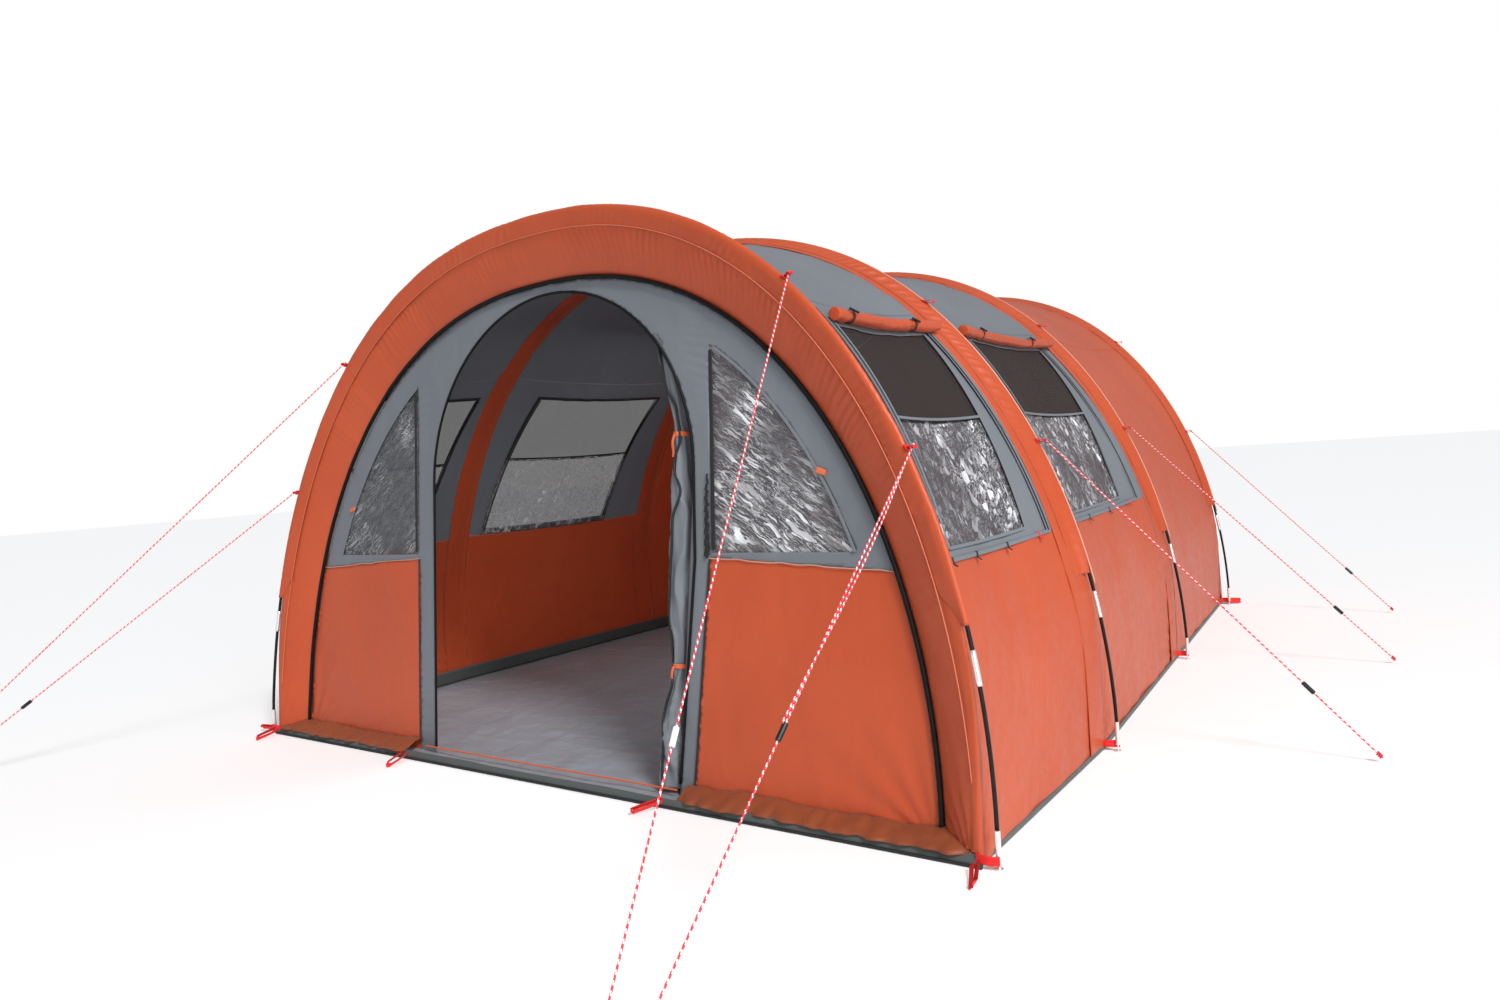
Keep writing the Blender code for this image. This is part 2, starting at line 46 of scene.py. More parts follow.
# Driving dimensions, as in the model
HALF_WIDTH = 1.70
HEIGHT = 1.988
SIDE_POWER = 0.883
TOP_POWER = 0.974
ARCH_Y = (-2.30, -1.24, 0.25, 1.83)
ARCH_WIDTH = (1.0, 1.016, 0.985, 0.953)
ARCH_HEIGHT = (1.0, 1.011, 1.026, 1.042)
ARCH_LEAN = (0.179, 0.021, -0.079, -0.040)
POLE_START = 0.1015
SKIN_INSET = 0.014
LEG_GAP = 0.036
SLEEVE_END = 0.588
BAY_SAG = 0.018
HEM_LIFT = 0.004
FRONT_SETBACK = 0.08
PIPING_HALF_WIDTH = 1.52
PIPING_HEIGHT = 1.77
DOOR_LEFT, DOOR_RIGHT, DOOR_RIGHT_FOOT, DOOR_TOP = -0.63, 0.69, 0.61, 1.73
COLUMN_LEFT, COLUMN_RIGHT, COLUMN_RIGHT_FOOT = -0.73, 0.75, 0.67
PANEL_TOP = 0.77
PANEL_DROP = 0.035
WINDOW_SILL = 0.79
FRONT_WINDOW_MARGIN = 0.105
BACK_DEPTH = 0.50
LINE_RADIUS = 0.0025
UPPER_LOOP, LOWER_LOOP = 0.9168, 0.5570
LOOP_REACH = 0.030
LINE_END_HEIGHT = 0.012

# name: arch, side, loop angle, far end on the ground, runner's place down the line
GUY_LINES = {
    "front_right_upper": (0, 1, UPPER_LOOP, (1.345, -3.37), 0.70),
    "front_right_lower": (0, 1, LOWER_LOOP, (1.43, -3.39), 0.56),
    "front_left_upper": (0, -1, UPPER_LOOP, (-2.40, -3.44), 0.80),
    "front_left_lower": (0, -1, LOWER_LOOP, (-2.44, -3.32), 0.76),
    "right_second": (1, 1, LOWER_LOOP - 0.01, (2.47, -1.06), 0.80),
    "right_third": (2, 1, LOWER_LOOP, (2.48, 0.39), 0.80),
    "right_fourth": (3, 1, LOWER_LOOP - 0.03, (2.45, 1.68), 0.80),
}

# Looks of the fabric
CLOTH = 0.0012
GREY_FROM = 0.385
ROOF_FROM = 0.90
BAND_FRONT = 0.125
WINDOW_LOW = 0.405
WINDOW_MIDDLE = 0.622
WINDOW_HIGH = 0.83
WINDOW_FRONT = 0.11
WINDOW_BACK = 0.735


# Camera and light

def add_camera():
    data = bpy.data.cameras.new("camera")
    data.sensor_width = 36.0
    data.lens = 23.016
    camera = bpy.data.objects.new("camera", data)
    scene.collection.objects.link(camera)
    right = Vector((0.81833205, 0.57033492, -0.07106859))
    up = Vector((0.03621033, 0.0722454, 0.99672936))
    back = Vector((0.57360393, -0.81822899, 0.03846871))
    turn = Matrix((right, up, back)).transposed().to_4x4()
    camera.matrix_world = Matrix.Translation((2.59886, -4.54825, 1.06114)) @ turn
    scene.camera = camera


def add_light(name, kind, energy, direction, **values):
    data = bpy.data.lights.new(name, kind)
    data.energy = energy
    for key, value in values.items():
        setattr(data, key, value)
    light = bpy.data.objects.new(name, data)
    scene.collection.objects.link(light)
    light.rotation_mode = "QUATERNION"
    light.rotation_quaternion = Vector(direction).to_track_quat("Z", "Y")
    return light


def add_studio():
    add_light("key", "SUN", 2.85, (0.72, -0.34, 0.78), angle=math.radians(14.0))
    fill = add_light("fill", "AREA", 130.0, (4.6, -3.9, 1.2), size=2.6)
    fill.location = (5.2, -5.2, 2.4)
    inner = add_light("inner", "AREA", 15.0, (0.0, 0.0, 1.0), size=1.2)
    inner.location = (0.0, -0.5, 1.80)
    world = bpy.data.worlds.new("studio")
    scene.world = world
    world.use_nodes = True
    nodes, links = world.node_tree.nodes, world.node_tree.links
    nodes.clear()
    out = nodes.new("ShaderNodeOutputWorld")
    mix = nodes.new("ShaderNodeMixShader")
    ray = nodes.new("ShaderNodeLightPath")
    soft = nodes.new("ShaderNodeBackground")
    soft.inputs["Color"].default_value = (0.95, 0.97, 1.0, 1.0)
    soft.inputs["Strength"].default_value = 0.40
    white = nodes.new("ShaderNodeBackground")
    white.inputs["Color"].default_value = (1.0, 1.0, 1.0, 1.0)
    links.new(ray.outputs["Is Camera Ray"], mix.inputs["Fac"])
    links.new(soft.outputs[0], mix.inputs[1])
    links.new(white.outputs[0], mix.inputs[2])
    links.new(mix.outputs[0], out.inputs["Surface"])
    scene.view_settings.view_transform = "Standard"
    floor = bpy.data.meshes.new("floor")
    reach = 60.0
    corners = [(-reach, -reach, 0), (reach, -reach, 0), (reach, reach, 0), (-reach, reach, 0)]
    floor.from_pydata(corners, [], [(0, 1, 2, 3)])
    ground = bpy.data.objects.new("floor", floor)
    ground.location.z = -0.001
    scene.collection.objects.link(ground)
    material = new_material("floor", (0.93, 0.93, 0.93), 0.9)[0]
    floor.materials.append(material)


# Materials

def new_material(name, color, roughness, metallic=0.0):
    material = bpy.data.materials.new(name)
    material.use_nodes = True
    shader = material.node_tree.nodes["Principled BSDF"]
    shader.inputs["Base Color"].default_value = (*color, 1.0)
    shader.inputs["Roughness"].default_value = roughness
    shader.inputs["Metallic"].default_value = metallic
    return material, shader


class Nodes:
    """Short ways to add nodes to a material."""

    def __init__(self, material):
        self.tree = material.node_tree
        self.shader = self.tree.nodes["Principled BSDF"]
        self.place = self.tree.nodes.new("ShaderNodeTexCoord").outputs["Object"]

    def add(self, kind, **values):
        node = self.tree.nodes.new(kind)
        for key, value in values.items():
            setattr(node, key, value)
        return node

    def link(self, out, into):
        self.tree.links.new(out, into)

    def noise(self, scale, detail=2.0, stretch=(1.0, 1.0, 1.0), roughness=0.5, distortion=0.0):
        mapping = self.add("ShaderNodeMapping")
        mapping.inputs["Scale"].default_value = stretch
        self.link(self.place, mapping.inputs["Vector"])
        noise = self.add("ShaderNodeTexNoise")
        noise.inputs["Scale"].default_value = scale
        noise.inputs["Detail"].default_value = detail
        noise.inputs["Roughness"].default_value = roughness
        noise.inputs["Distortion"].default_value = distortion
        self.link(mapping.outputs[0], noise.inputs["Vector"])
        return noise.outputs["Fac"]

    def spread(self, value, low, high, start=0.3, end=0.7):
        node = self.add("ShaderNodeMapRange")
        node.inputs["From Min"].default_value = start
        node.inputs["From Max"].default_value = end
        node.inputs["To Min"].default_value = low
        node.inputs["To Max"].default_value = high
        self.link(value, node.inputs["Value"])
        return node.outputs["Result"]

    def maths(self, operation, a, b):
        node = self.add("ShaderNodeMath", operation=operation)
        for socket, value in zip(node.inputs, (a, b)):
            if isinstance(value, (int, float)):
                socket.default_value = value
            else:
                self.link(value, socket)
        return node.outputs[0]

    def tinted(self, colour, other, factor):
        node = self.add("ShaderNodeMix", data_type="RGBA")
        node.inputs["A"].default_value = (*colour, 1.0)
        node.inputs["B"].default_value = (*other, 1.0)
        self.link(factor, node.inputs["Factor"])
        return node.outputs["Result"]

    def bump(self, height, strength, distance, below=None):
        node = self.add("ShaderNodeBump")
        node.inputs["Strength"].default_value = strength
        node.inputs["Distance"].default_value = distance
        self.link(height, node.inputs["Height"])
        if below:
            self.link(below, node.inputs["Normal"])
        return node.outputs["Normal"]


def fabric(name, color, dark, roughness=0.55, glow=0.2, crinkle=1.0):
    """Coated woven cloth, which lets some light through."""
    material, shader = new_material(name, color, roughness)
    shader.inputs["Sheen Weight"].default_value = 0.08
    shader.inputs["Sheen Roughness"].default_value = 0.4
    shader.inputs["Specular IOR Level"].default_value = 0.42
    n = Nodes(material)
    broad = n.noise(2.2, 3.0)
    fine = n.noise(420.0, 1.0)
    weave = n.noise(900.0, 0.0, (1.0, 1.0, 0.12))
    shade = n.maths("MULTIPLY", n.spread(broad, 0.0, 0.7), n.spread(fine, 0.6, 1.0))
    tone = n.tinted(color, dark, shade)
    n.link(tone, shader.inputs["Base Color"])
    n.link(n.spread(n.noise(30.0, 2.0), roughness - 0.06, roughness + 0.06), shader.inputs["Roughness"])
    creases = n.noise(9.0, 3.0, (1.0, 1.0, 0.7), 0.5, 0.5)
    low = n.bump(creases, 0.28 * crinkle, 0.018)
    normal = n.bump(weave, 0.12, 0.0006, low)
    n.link(normal, shader.inputs["Normal"])
    if glow:
        behind = n.add("ShaderNodeBsdfTranslucent")
        n.link(tone, behind.inputs["Color"])
        n.link(normal, behind.inputs["Normal"])
        mix = n.add("ShaderNodeMixShader")
        mix.inputs["Fac"].default_value = glow
        n.link(shader.outputs[0], mix.inputs[1])
        n.link(behind.outputs[0], mix.inputs[2])
        n.link(mix.outputs[0], n.tree.nodes["Material Output"].inputs["Surface"])
    return material


def film(name, size, stretch, turn, dark, light, painted_highlight_share):
    """Clear, creased plastic film, with its highlights painted into colour and alpha: its facets and crease
    lines are painted towards the light colour and made less see-through; the last argument is the share of
    its facets that get such a painted highlight.
    """
    material, shader = new_material(name, dark, 0.12)
    n = Nodes(material)
    turned = n.add("ShaderNodeMapping")
    turned.inputs["Rotation"].default_value = turn
    n.link(n.place, turned.inputs["Vector"])
    n.place = turned.outputs[0]
    wander = n.add("ShaderNodeTexNoise")
    wander.inputs["Scale"].default_value = 12.0
    n.link(n.place, wander.inputs["Vector"])
    moved = n.add("ShaderNodeMix", data_type="VECTOR")
    moved.inputs["Factor"].default_value = 0.045
    n.link(n.place, moved.inputs[4])
    n.link(wander.outputs["Color"], moved.inputs[5])
    stretched = n.add("ShaderNodeMapping")
    stretched.inputs["Scale"].default_value = stretch
    n.link(moved.outputs[1], stretched.inputs["Vector"])
    # Painted highlights: facets at two sizes that are tinted light.
    painted_facet_highlights = []
    for scale, gain in ((size, 1.0), (size * 2.4, 0.8)):
        facets = n.add("ShaderNodeTexVoronoi")
        facets.inputs["Scale"].default_value = scale
        n.link(stretched.outputs[0], facets.inputs["Vector"])
        painted_facet_highlights.append(n.spread(facets.outputs["Color"], 0.0, gain, 1.0 - painted_highlight_share, 1.0 - painted_highlight_share * 0.4))
    # Painted highlights along thin crease lines.
    lines = []
    for scale, width in ((size * 0.5, 0.012), (size * 1.4, 0.016)):
        creases = n.noise(scale, 3.0, stretch, 0.6, 0.8)
        lines.append(n.spread(n.maths("ABSOLUTE", n.maths("SUBTRACT", creases, 0.5), 0.0), 0.9, 0.0, 0.0,
                              width))
    patch = n.spread(n.noise(4.5, 2.0), 0.25, 1.0, 0.40, 0.60)
    tone = n.maths("MAXIMUM", n.maths("MAXIMUM", painted_facet_highlights[0], painted_facet_highlights[1]), n.maths("MAXIMUM", lines[0], lines[1]))
    tone = n.maths("MULTIPLY", tone, patch)
    # Colour and alpha carry the painted highlights: lighter and less see-through on the facets and crease
    # lines.
    n.link(n.tinted(dark, light, tone), shader.inputs["Base Color"])
    n.link(n.spread(tone, 0.60, 0.95, 0.0, 1.0), shader.inputs["Alpha"])
    n.link(n.spread(creases, 0.06, 0.22), shader.inputs["Roughness"])
    n.link(n.bump(creases, 0.5, 0.01), shader.inputs["Normal"])
    return material


def netting(name):
    """Fine black insect mesh."""
    material, shader = new_material(name, (0.016, 0.016, 0.015), 0.8)
    n = Nodes(material)
    threads = n.noise(300.0, 1.0)
    n.link(n.tinted((0.012, 0.012, 0.011), (0.022, 0.021, 0.019), n.noise(3.0)), shader.inputs["Base Color"])
    n.link(n.spread(threads, 0.58, 0.68), shader.inputs["Alpha"])
    return material


def hard(name, color, roughness, metallic=0.0, worn=(0.0, 0.0, 0.0), shine=0.5):
    """Moulded plastic, rod or metal with fine wear."""
    material, shader = new_material(name, color, roughness, metallic)
    shader.inputs["Specular IOR Level"].default_value = shine
    n = Nodes(material)
    n.link(n.tinted(color, tuple(c + w for c, w in zip(color, worn)),
                    n.spread(n.noise(45.0, 4.0), 0.0, 1.0)), shader.inputs["Base Color"])
    n.link(n.spread(n.noise(90.0, 3.0), roughness - 0.07, roughness + 0.09), shader.inputs["Roughness"])
    n.link(n.bump(n.noise(500.0, 2.0), 0.10, 0.0005), shader.inputs["Normal"])
    return material


def webbing(name, color, dark):
    """Woven tape or braided cord."""
    material, shader = new_material(name, color, 0.7)
    n = Nodes(material)
    n.link(n.tinted(color, dark, n.spread(n.noise(700.0, 1.0), 0.0, 0.8)), shader.inputs["Base Color"])
    n.link(n.bump(n.noise(900.0, 1.0), 0.4, 0.001), shader.inputs["Normal"])
    n.link(n.spread(n.noise(60.0, 2.0), 0.6, 0.8), shader.inputs["Roughness"])
    return material


def make_materials():
    return {
        "orange": fabric("orange_fabric", (0.62, 0.104, 0.034), (0.53, 0.076, 0.021), 0.40, 0.28),
        "grey": fabric("grey_fabric", (0.235, 0.255, 0.285), (0.19, 0.21, 0.235), 0.6, 0.34),
        "lining": fabric("floor_sheet", (0.25, 0.265, 0.295), (0.185, 0.20, 0.22), 0.36, 0.0, 2.0),
        "rim": fabric("floor_rim", (0.075, 0.088, 0.085), (0.055, 0.065, 0.062), 0.5, 0.0),
        "flap": fabric("mud_flap", (0.30, 0.070, 0.022), (0.17, 0.045, 0.02), 0.5, 0.15, 1.6),
        "seam": webbing("seam_tape", (0.80, 0.36, 0.26), (0.66, 0.24, 0.16)),
        "stitch": webbing("stitched_edge", (0.66, 0.19, 0.10), (0.42, 0.07, 0.03)),
        "pale": webbing("pale_tape", (0.46, 0.30, 0.24), (0.36, 0.20, 0.15)),
        "red": webbing("red_webbing", (0.80, 0.014, 0.012), (0.50, 0.006, 0.006)),
        "tie": webbing("orange_tie", (0.75, 0.16, 0.05), (0.5, 0.08, 0.03)),
        "black": webbing("black_tape", (0.006, 0.006, 0.0065), (0.014, 0.014, 0.015)),
        "zip": hard("zip_coil", (0.0025, 0.0025, 0.003), 0.5, 0.0, (0.004, 0.004, 0.004), 0.15),
        "pole": hard("glass_fibre", (0.003, 0.003, 0.0035), 0.35, 0.0, (0.005, 0.005, 0.005), 0.25),
        "ferrule": hard("ferrule", (0.86, 0.86, 0.86), 0.30, 0.8, (-0.06, -0.06, -0.06)),
        "metal": hard("slider_metal", (0.42, 0.42, 0.43), 0.3, 1.0, (-0.1, -0.1, -0.1)),
        "runner_light": hard("runner_light", (0.80, 0.80, 0.78), 0.4, 0.0, (-0.1, -0.1, -0.1)),
        "runner_dark": hard("runner_dark", (0.006, 0.006, 0.007), 0.4, 0.0, (0.01, 0.01, 0.01), 0.3),
        "rope": webbing("rope_red", (0.80, 0.035, 0.055), (0.62, 0.02, 0.035)),
        "fleck": webbing("rope_white", (0.84, 0.76, 0.76), (0.70, 0.58, 0.58)),
        "film": film("window_film", 50.0, (1.0, 0.9, 0.55), (0.35, 0.0, 0.0), (0.07, 0.075, 0.085),
                     (0.90, 0.91, 0.94), 0.26),
        "front_film": film("front_window_film", 40.0, (0.28, 1.0, 2.2), (0.0, -0.60, 0.0),
                           (0.10, 0.105, 0.115), (0.90, 0.91, 0.93), 0.28),
        # The left front film is a darker copy of the front film with fewer painted highlights: painted shade
        # for the less lit left side.
        "left_film_painted_shade": film("left_window_film_painted_shade", 40.0, (0.28, 1.0, 2.2), (0.0, 0.60, 0.0),
                          (0.06, 0.068, 0.080), (0.80, 0.81, 0.83), 0.07),
        "mesh": netting("insect_mesh"),
    }


# Numbers

def smooth(x):
    x = np.clip(x, 0.0, 1.0)
    return x * x * (3.0 - 2.0 * x)


def noise(x, y, seed=0):
    """A smooth random field from -1 to 1, with one unit between its lattice points."""
    table = np.random.default_rng(seed).uniform(-1.0, 1.0, (97, 97))
    x, y = np.broadcast_arrays(np.asarray(x, float), np.asarray(y, float))
    i, j = np.floor(x).astype(int), np.floor(y).astype(int)
    u, v = smooth(x - i), smooth(y - j)
    a, b = table[i % 97, j % 97], table[(i + 1) % 97, j % 97]
    c, d = table[i % 97, (j + 1) % 97], table[(i + 1) % 97, (j + 1) % 97]
    return (a * (1 - u) + b * u) * (1 - v) + (c * (1 - u) + d * u) * v


def ridges(x, y, seed=0):
    """Sharp creases: 1 on them and 0 between."""
    return 1.0 - np.abs(noise(x, y, seed)) * 2.0


def puckers(run, across, wavelength, seed, even=0.5):
    """Short sharp gathers side by side along a seam, from -1 to 1."""
    phase = run / wavelength + 0.8 * noise(run / (wavelength * 5.0), across / 0.15, seed)
    fold = 1.0 - 2.0 * np.abs(np.sin(math.pi * phase))
    return fold * (even + (1.0 - even) * noise(run / (wavelength * 4.0), across / 0.3, seed + 1))


def samples(low, high, step, *through):
    """Numbers about step apart from low to high, that hit each number in through."""
    stops = sorted({low, high, *through})
    out = [stops[0]]
    for a, b in zip(stops, stops[1:]):
        out += list(np.linspace(a, b, max(1, int(math.ceil((b - a) / step))) + 1)[1:])
    return np.array(out)


def unit(v):
    return v / np.maximum(np.linalg.norm(v, axis=-1, keepdims=True), 1e-12)


# The arches and the skin between them

def arch_point(arch, angle):
    angle = np.asarray(angle, float)
    c, s = np.cos(angle), np.maximum(np.sin(angle), 0.0)
    x = HALF_WIDTH * ARCH_WIDTH[arch] * np.sign(c) * np.abs(c) ** SIDE_POWER
    z = HEIGHT * ARCH_HEIGHT[arch] * s ** TOP_POWER
    return np.stack([x, ARCH_Y[arch] + ARCH_LEAN[arch] * z / HEIGHT, z], axis=-1)


def arch_back(arch):
    return unit(np.array([0.0, 1.0, -ARCH_LEAN[arch] / HEIGHT]))


def arch_outward(arch, angle):
    low = arch_point(arch, np.maximum(np.asarray(angle, float) - 0.01, 0.0))
    high = arch_point(arch, np.minimum(np.asarray(angle, float) + 0.01, math.pi))
    return unit(np.cross(arch_back(arch), high - low))


def skin_on_arch(arch, angle):
    point = arch_point(arch, angle) - arch_outward(arch, angle) * SKIN_INSET
    rise = np.clip(point[..., 2] / SLEEVE_END, 0.0, 1.0)
    hang = LEG_GAP * (1.0 - smooth(rise))
    point[..., 0] -= np.sign(point[..., 0]) * hang
    point[..., 2] = np.maximum(point[..., 2], HEM_LIFT)
    return point


def skin(bay, place, angle):
    """Outer face of the fabric in a bay, at fractions of its length and angles up the arch."""
    place, angle = np.broadcast_arrays(np.asarray(place, float), np.asarray(angle, float))
    front, back = skin_on_arch(bay, angle), skin_on_arch(bay + 1, angle)
    point = front + (back - front) * place[..., None]
    rise = np.minimum(point[..., 2] / SLEEVE_END, 1.0)
    waist = 1.0 - BAY_SAG * 4.0 * place * (1.0 - place) * rise
    point[..., 0] *= waist
    point[..., 2] *= waist
    return point


ANGLES = np.linspace(0.0, math.pi, 721)
RUN = np.concatenate([[0.0], np.cumsum(np.linalg.norm(np.diff(arch_point(1, ANGLES), axis=0), axis=1))])


def run_of(angle):
    """Length along an arch from its right foot."""
    return np.interp(angle, ANGLES, RUN)


def bay_length(bay):
    return ARCH_Y[bay + 1] - ARCH_Y[bay]


def front(across, up, out=0.0):
    """A place on the front wall, which leans back with the front pole; out is towards the viewer."""
    lean = math.atan(ARCH_LEAN[0] / HEIGHT)
    across, up, out = np.broadcast_arrays(*(np.asarray(v, float) for v in (across, up, out)))
    y = ARCH_Y[0] + FRONT_SETBACK + up * math.sin(lean) - out * math.cos(lean)
    return np.stack([across, y, up * math.cos(lean) + out * math.sin(lean)], axis=-1)


def piping_point(angle, inset=0.0):
    c, s = np.cos(angle), np.maximum(np.sin(angle), 0.0)
    across = (PIPING_HALF_WIDTH - inset) * np.sign(c) * np.abs(c) ** SIDE_POWER
    return np.stack([across, (PIPING_HEIGHT - inset) * s ** TOP_POWER], axis=-1)


def angle_at_height(up, inset=0.0):
    return np.arcsin(np.minimum((np.asarray(up) / (PIPING_HEIGHT - inset)) ** (1.0 / TOP_POWER), 1.0))


def door_centre():
    radius = (DOOR_RIGHT - DOOR_LEFT) / 2.0
    return (DOOR_LEFT + DOOR_RIGHT) / 2.0, DOOR_TOP - radius, radius


# Mesh builders

def finish_piece(obj, replaces=(), body="tent"):
    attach(obj, body)
    if replaces:
        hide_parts(*replaces)
    return obj


def mesh_object(name, points, faces, materials, picks=None, flat=False):
    """An object from arrays of points and of faces with equally many corners."""
    points, faces = np.asarray(points, np.float32).reshape(-1, 3), np.asarray(faces, np.int32)
    used, inverse = np.unique(faces, return_inverse=True)
    points, faces = points[used], inverse.reshape(faces.shape).astype(np.int32)
    mesh = bpy.data.meshes.new(name)
    mesh.vertices.add(len(points))
    mesh.vertices.foreach_set("co", points.ravel())
    mesh.loops.add(faces.size)
    mesh.loops.foreach_set("vertex_index", faces.ravel())
    mesh.polygons.add(len(faces))
    mesh.polygons.foreach_set("loop_start", np.arange(0, faces.size, faces.shape[1], dtype=np.int32))
    for material in materials:
        mesh.materials.append(material)
    if picks is not None:
        mesh.polygons.foreach_set("material_index", np.asarray(picks, np.int32))
    mesh.update()
    mesh.validate()
    if not flat:
        mesh.shade_smooth()
    obj = bpy.data.objects.new(name, mesh)
    scene.collection.objects.link(obj)
    return obj


def grid_faces(rows, columns, keep=None, wrap=False):
    i, j = np.meshgrid(np.arange(rows - 1), np.arange(columns if wrap else columns - 1), indexing="ij")
    k = (j + 1) % columns
    faces = np.stack([i * columns + j, i * columns + k, (i + 1) * columns + k, (i + 1) * columns + j],
                     axis=-1)
    return faces[keep] if keep is not None else faces.reshape(-1, 4)


def normals_of(grid):
    """Outward directions of a grid whose second axis runs back and whose first runs up the right side."""
    return unit(np.cross(np.gradient(grid, axis=1), np.gradient(grid, axis=0)))


def thicken(obj, thickness=CLOTH, offset=-1.0):
    shell = obj.modifiers.new("cloth", "SOLIDIFY")
    shell.thickness = thickness
    shell.offset = offset
    return obj


def cloth(name, grid, lift, material, slot, replaces=(), keep=None, flat=None, held="stretched", rests_on=(),
          thickness=CLOTH, offset=-1.0):
    """A sheet of cloth on a grid of places, lifted off it by the given heights."""
    moved = grid + normals_of(grid) * lift[..., None]
    obj = mesh_object(name, moved, grid_faces(*grid.shape[:2], keep), [material])
    thicken(obj, thickness, offset)
    finish_piece(obj, replaces)
    return obj


def tube(name, path, radius, material, sides=8, replaces=(), radii=None, wave=None, body="tent",
         caps=True):
    """A round tube along a path; wave(turn, run) may push its surface out."""
    path = np.asarray(path, float).reshape(-1, 3)
    count = len(path)
    along = unit(np.gradient(path, axis=0))
    side = np.zeros_like(path)
    start = np.array([0.0, 0.0, 1.0]) if abs(along[0][2]) < 0.9 else np.array([1.0, 0.0, 0.0])
    side[0] = unit(np.cross(start, along[0]))
    for i in range(1, count):
        side[i] = unit(side[i - 1] - along[i] * (side[i - 1] @ along[i]))
    other = np.cross(along, side)
    turn = np.linspace(0.0, 2.0 * math.pi, sides, endpoint=False)
    size = np.full((count, 1), radius) * (1.0 if radii is None else np.asarray(radii).reshape(-1, 1))
    run = np.concatenate([[0.0], np.cumsum(np.linalg.norm(np.diff(path, axis=0), axis=1))])
    if wave is not None:
        size = size + wave(turn[None, :], run[:, None])
    ring = np.cos(turn)[None, :, None] * side[:, None] + np.sin(turn)[None, :, None] * other[:, None]
    points = path[:, None] + ring * np.broadcast_to(size, (count, sides))[..., None]
    faces = grid_faces(count, sides, wrap=True)
    points = points.reshape(-1, 3)
    if caps:
        points = np.concatenate([points, path[:1], path[-1:]])
        a, k = np.arange(sides), (np.arange(sides) + 1) % sides
        first, last = np.full(sides, len(points) - 2), np.full(sides, len(points) - 1)
        base = (count - 1) * sides
        faces = np.concatenate([faces, np.stack([first, k, a, a], -1),
                                np.stack([last, base + a, base + k, base + k], -1)])
    quads = faces[faces[:, 2] != faces[:, 3]]
    ends = faces[faces[:, 2] == faces[:, 3]][:, :3]
    obj = mixed_object(name, points, quads, ends, [material])
    return finish_piece(obj, replaces, body)


def mixed_object(name, points, quads, triangles, materials):
    mesh = bpy.data.meshes.new(name)
    mesh.from_pydata([tuple(p) for p in points], [], [tuple(f) for f in quads]
                     + [tuple(f) for f in triangles])
    for material in materials:
        mesh.materials.append(material)
    mesh.update()
    mesh.shade_smooth()
    obj = bpy.data.objects.new(name, mesh)
    scene.collection.objects.link(obj)
    return obj


def tape(name, path, normal, width, material, thickness=0.0016, replaces=(), body="tent",
         rounded=True):
    """A flat tape along a path, facing the given direction or directions."""
    path = np.asarray(path, float).reshape(-1, 3)
    along = unit(np.gradient(path, axis=0))
    normal = np.broadcast_to(np.asarray(normal, float), path.shape)
    across = unit(np.cross(normal, along))
    normal = unit(np.cross(along, across))
    w, h = np.broadcast_to(np.asarray(width, float), (len(path),))[:, None] / 2.0, thickness / 2.0
    inner = 0.72 if rounded else 1.0
    corners = [(-1.0, 0.0), (-inner, -1.0), (inner, -1.0), (1.0, 0.0), (inner, 1.0), (-inner, 1.0)]
    rings = [path + across * w * a + normal * h * b for a, b in corners]
    points = np.stack(rings, axis=1)
    count, sides = len(path), len(corners)
    quads = grid_faces(count, sides, wrap=True)
    a = list(range(sides))
    mesh = bpy.data.meshes.new(name)
    base = (count - 1) * sides
    caps = [tuple(reversed(a)), tuple(base + k for k in a)]
    mesh.from_pydata([tuple(p) for p in points.reshape(-1, 3)], [], [tuple(f) for f in quads] + caps)
    mesh.materials.append(material)
    mesh.update()
    obj = bpy.data.objects.new(name, mesh)
    scene.collection.objects.link(obj)
    return finish_piece(obj, replaces, body)


def joined(name, objects):
    """One object from several that share a body and a slot."""
    bpy.ops.object.select_all(action="DESELECT")
    for obj in objects:
        obj.select_set(True)
    bpy.context.view_layer.objects.active = objects[0]
    bpy.ops.object.join()
    objects[0].name = name
    return objects[0]


def fill(outline, holes, cell):
    """Triangles that fill a flat outline with holes, about a cell across."""
    loops = [resample(loop, cell) for loop in [outline, *holes]]
    verts, edges = [], []
    for loop in loops:
        base = len(verts)
        verts += [tuple(p) for p in loop]
        edges += [(base + i, base + (i + 1) % len(loop)) for i in range(len(loop))]
    low, high = np.min(loops[0], axis=0), np.max(loops[0], axis=0)
    rows = np.arange(low[1] + cell * 0.5, high[1], cell * 0.87)
    inner = []
    for k, up in enumerate(rows):
        line = np.arange(low[0] + cell * (0.5 if k % 2 else 0.0), high[0], cell)
        inner.append(np.stack([line, np.full_like(line, up)], axis=1))
    inner = np.concatenate(inner)
    edge_points = np.concatenate(loops)
    ok = inside(inner, loops[0])
    for hole in loops[1:]:
        ok &= ~inside(inner, hole)
    inner = inner[ok]
    gap = np.array([np.min(np.sum((edge_points - p) ** 2, axis=1)) for p in inner])
    inner = inner[gap > (0.45 * cell) ** 2]
    verts += [tuple(p) for p in inner]
    found = geometry.delaunay_2d_cdt([Vector(v) for v in verts], edges, [], 0, 1e-6)
    points = np.array([tuple(v) for v in found[0]])
    faces = np.array([f for f in found[2] if len(f) == 3])
    middle = points[faces].mean(axis=1)
    ok = inside(middle, loops[0])
    for hole in loops[1:]:
        ok &= ~inside(middle, hole)
    return points, faces[ok]


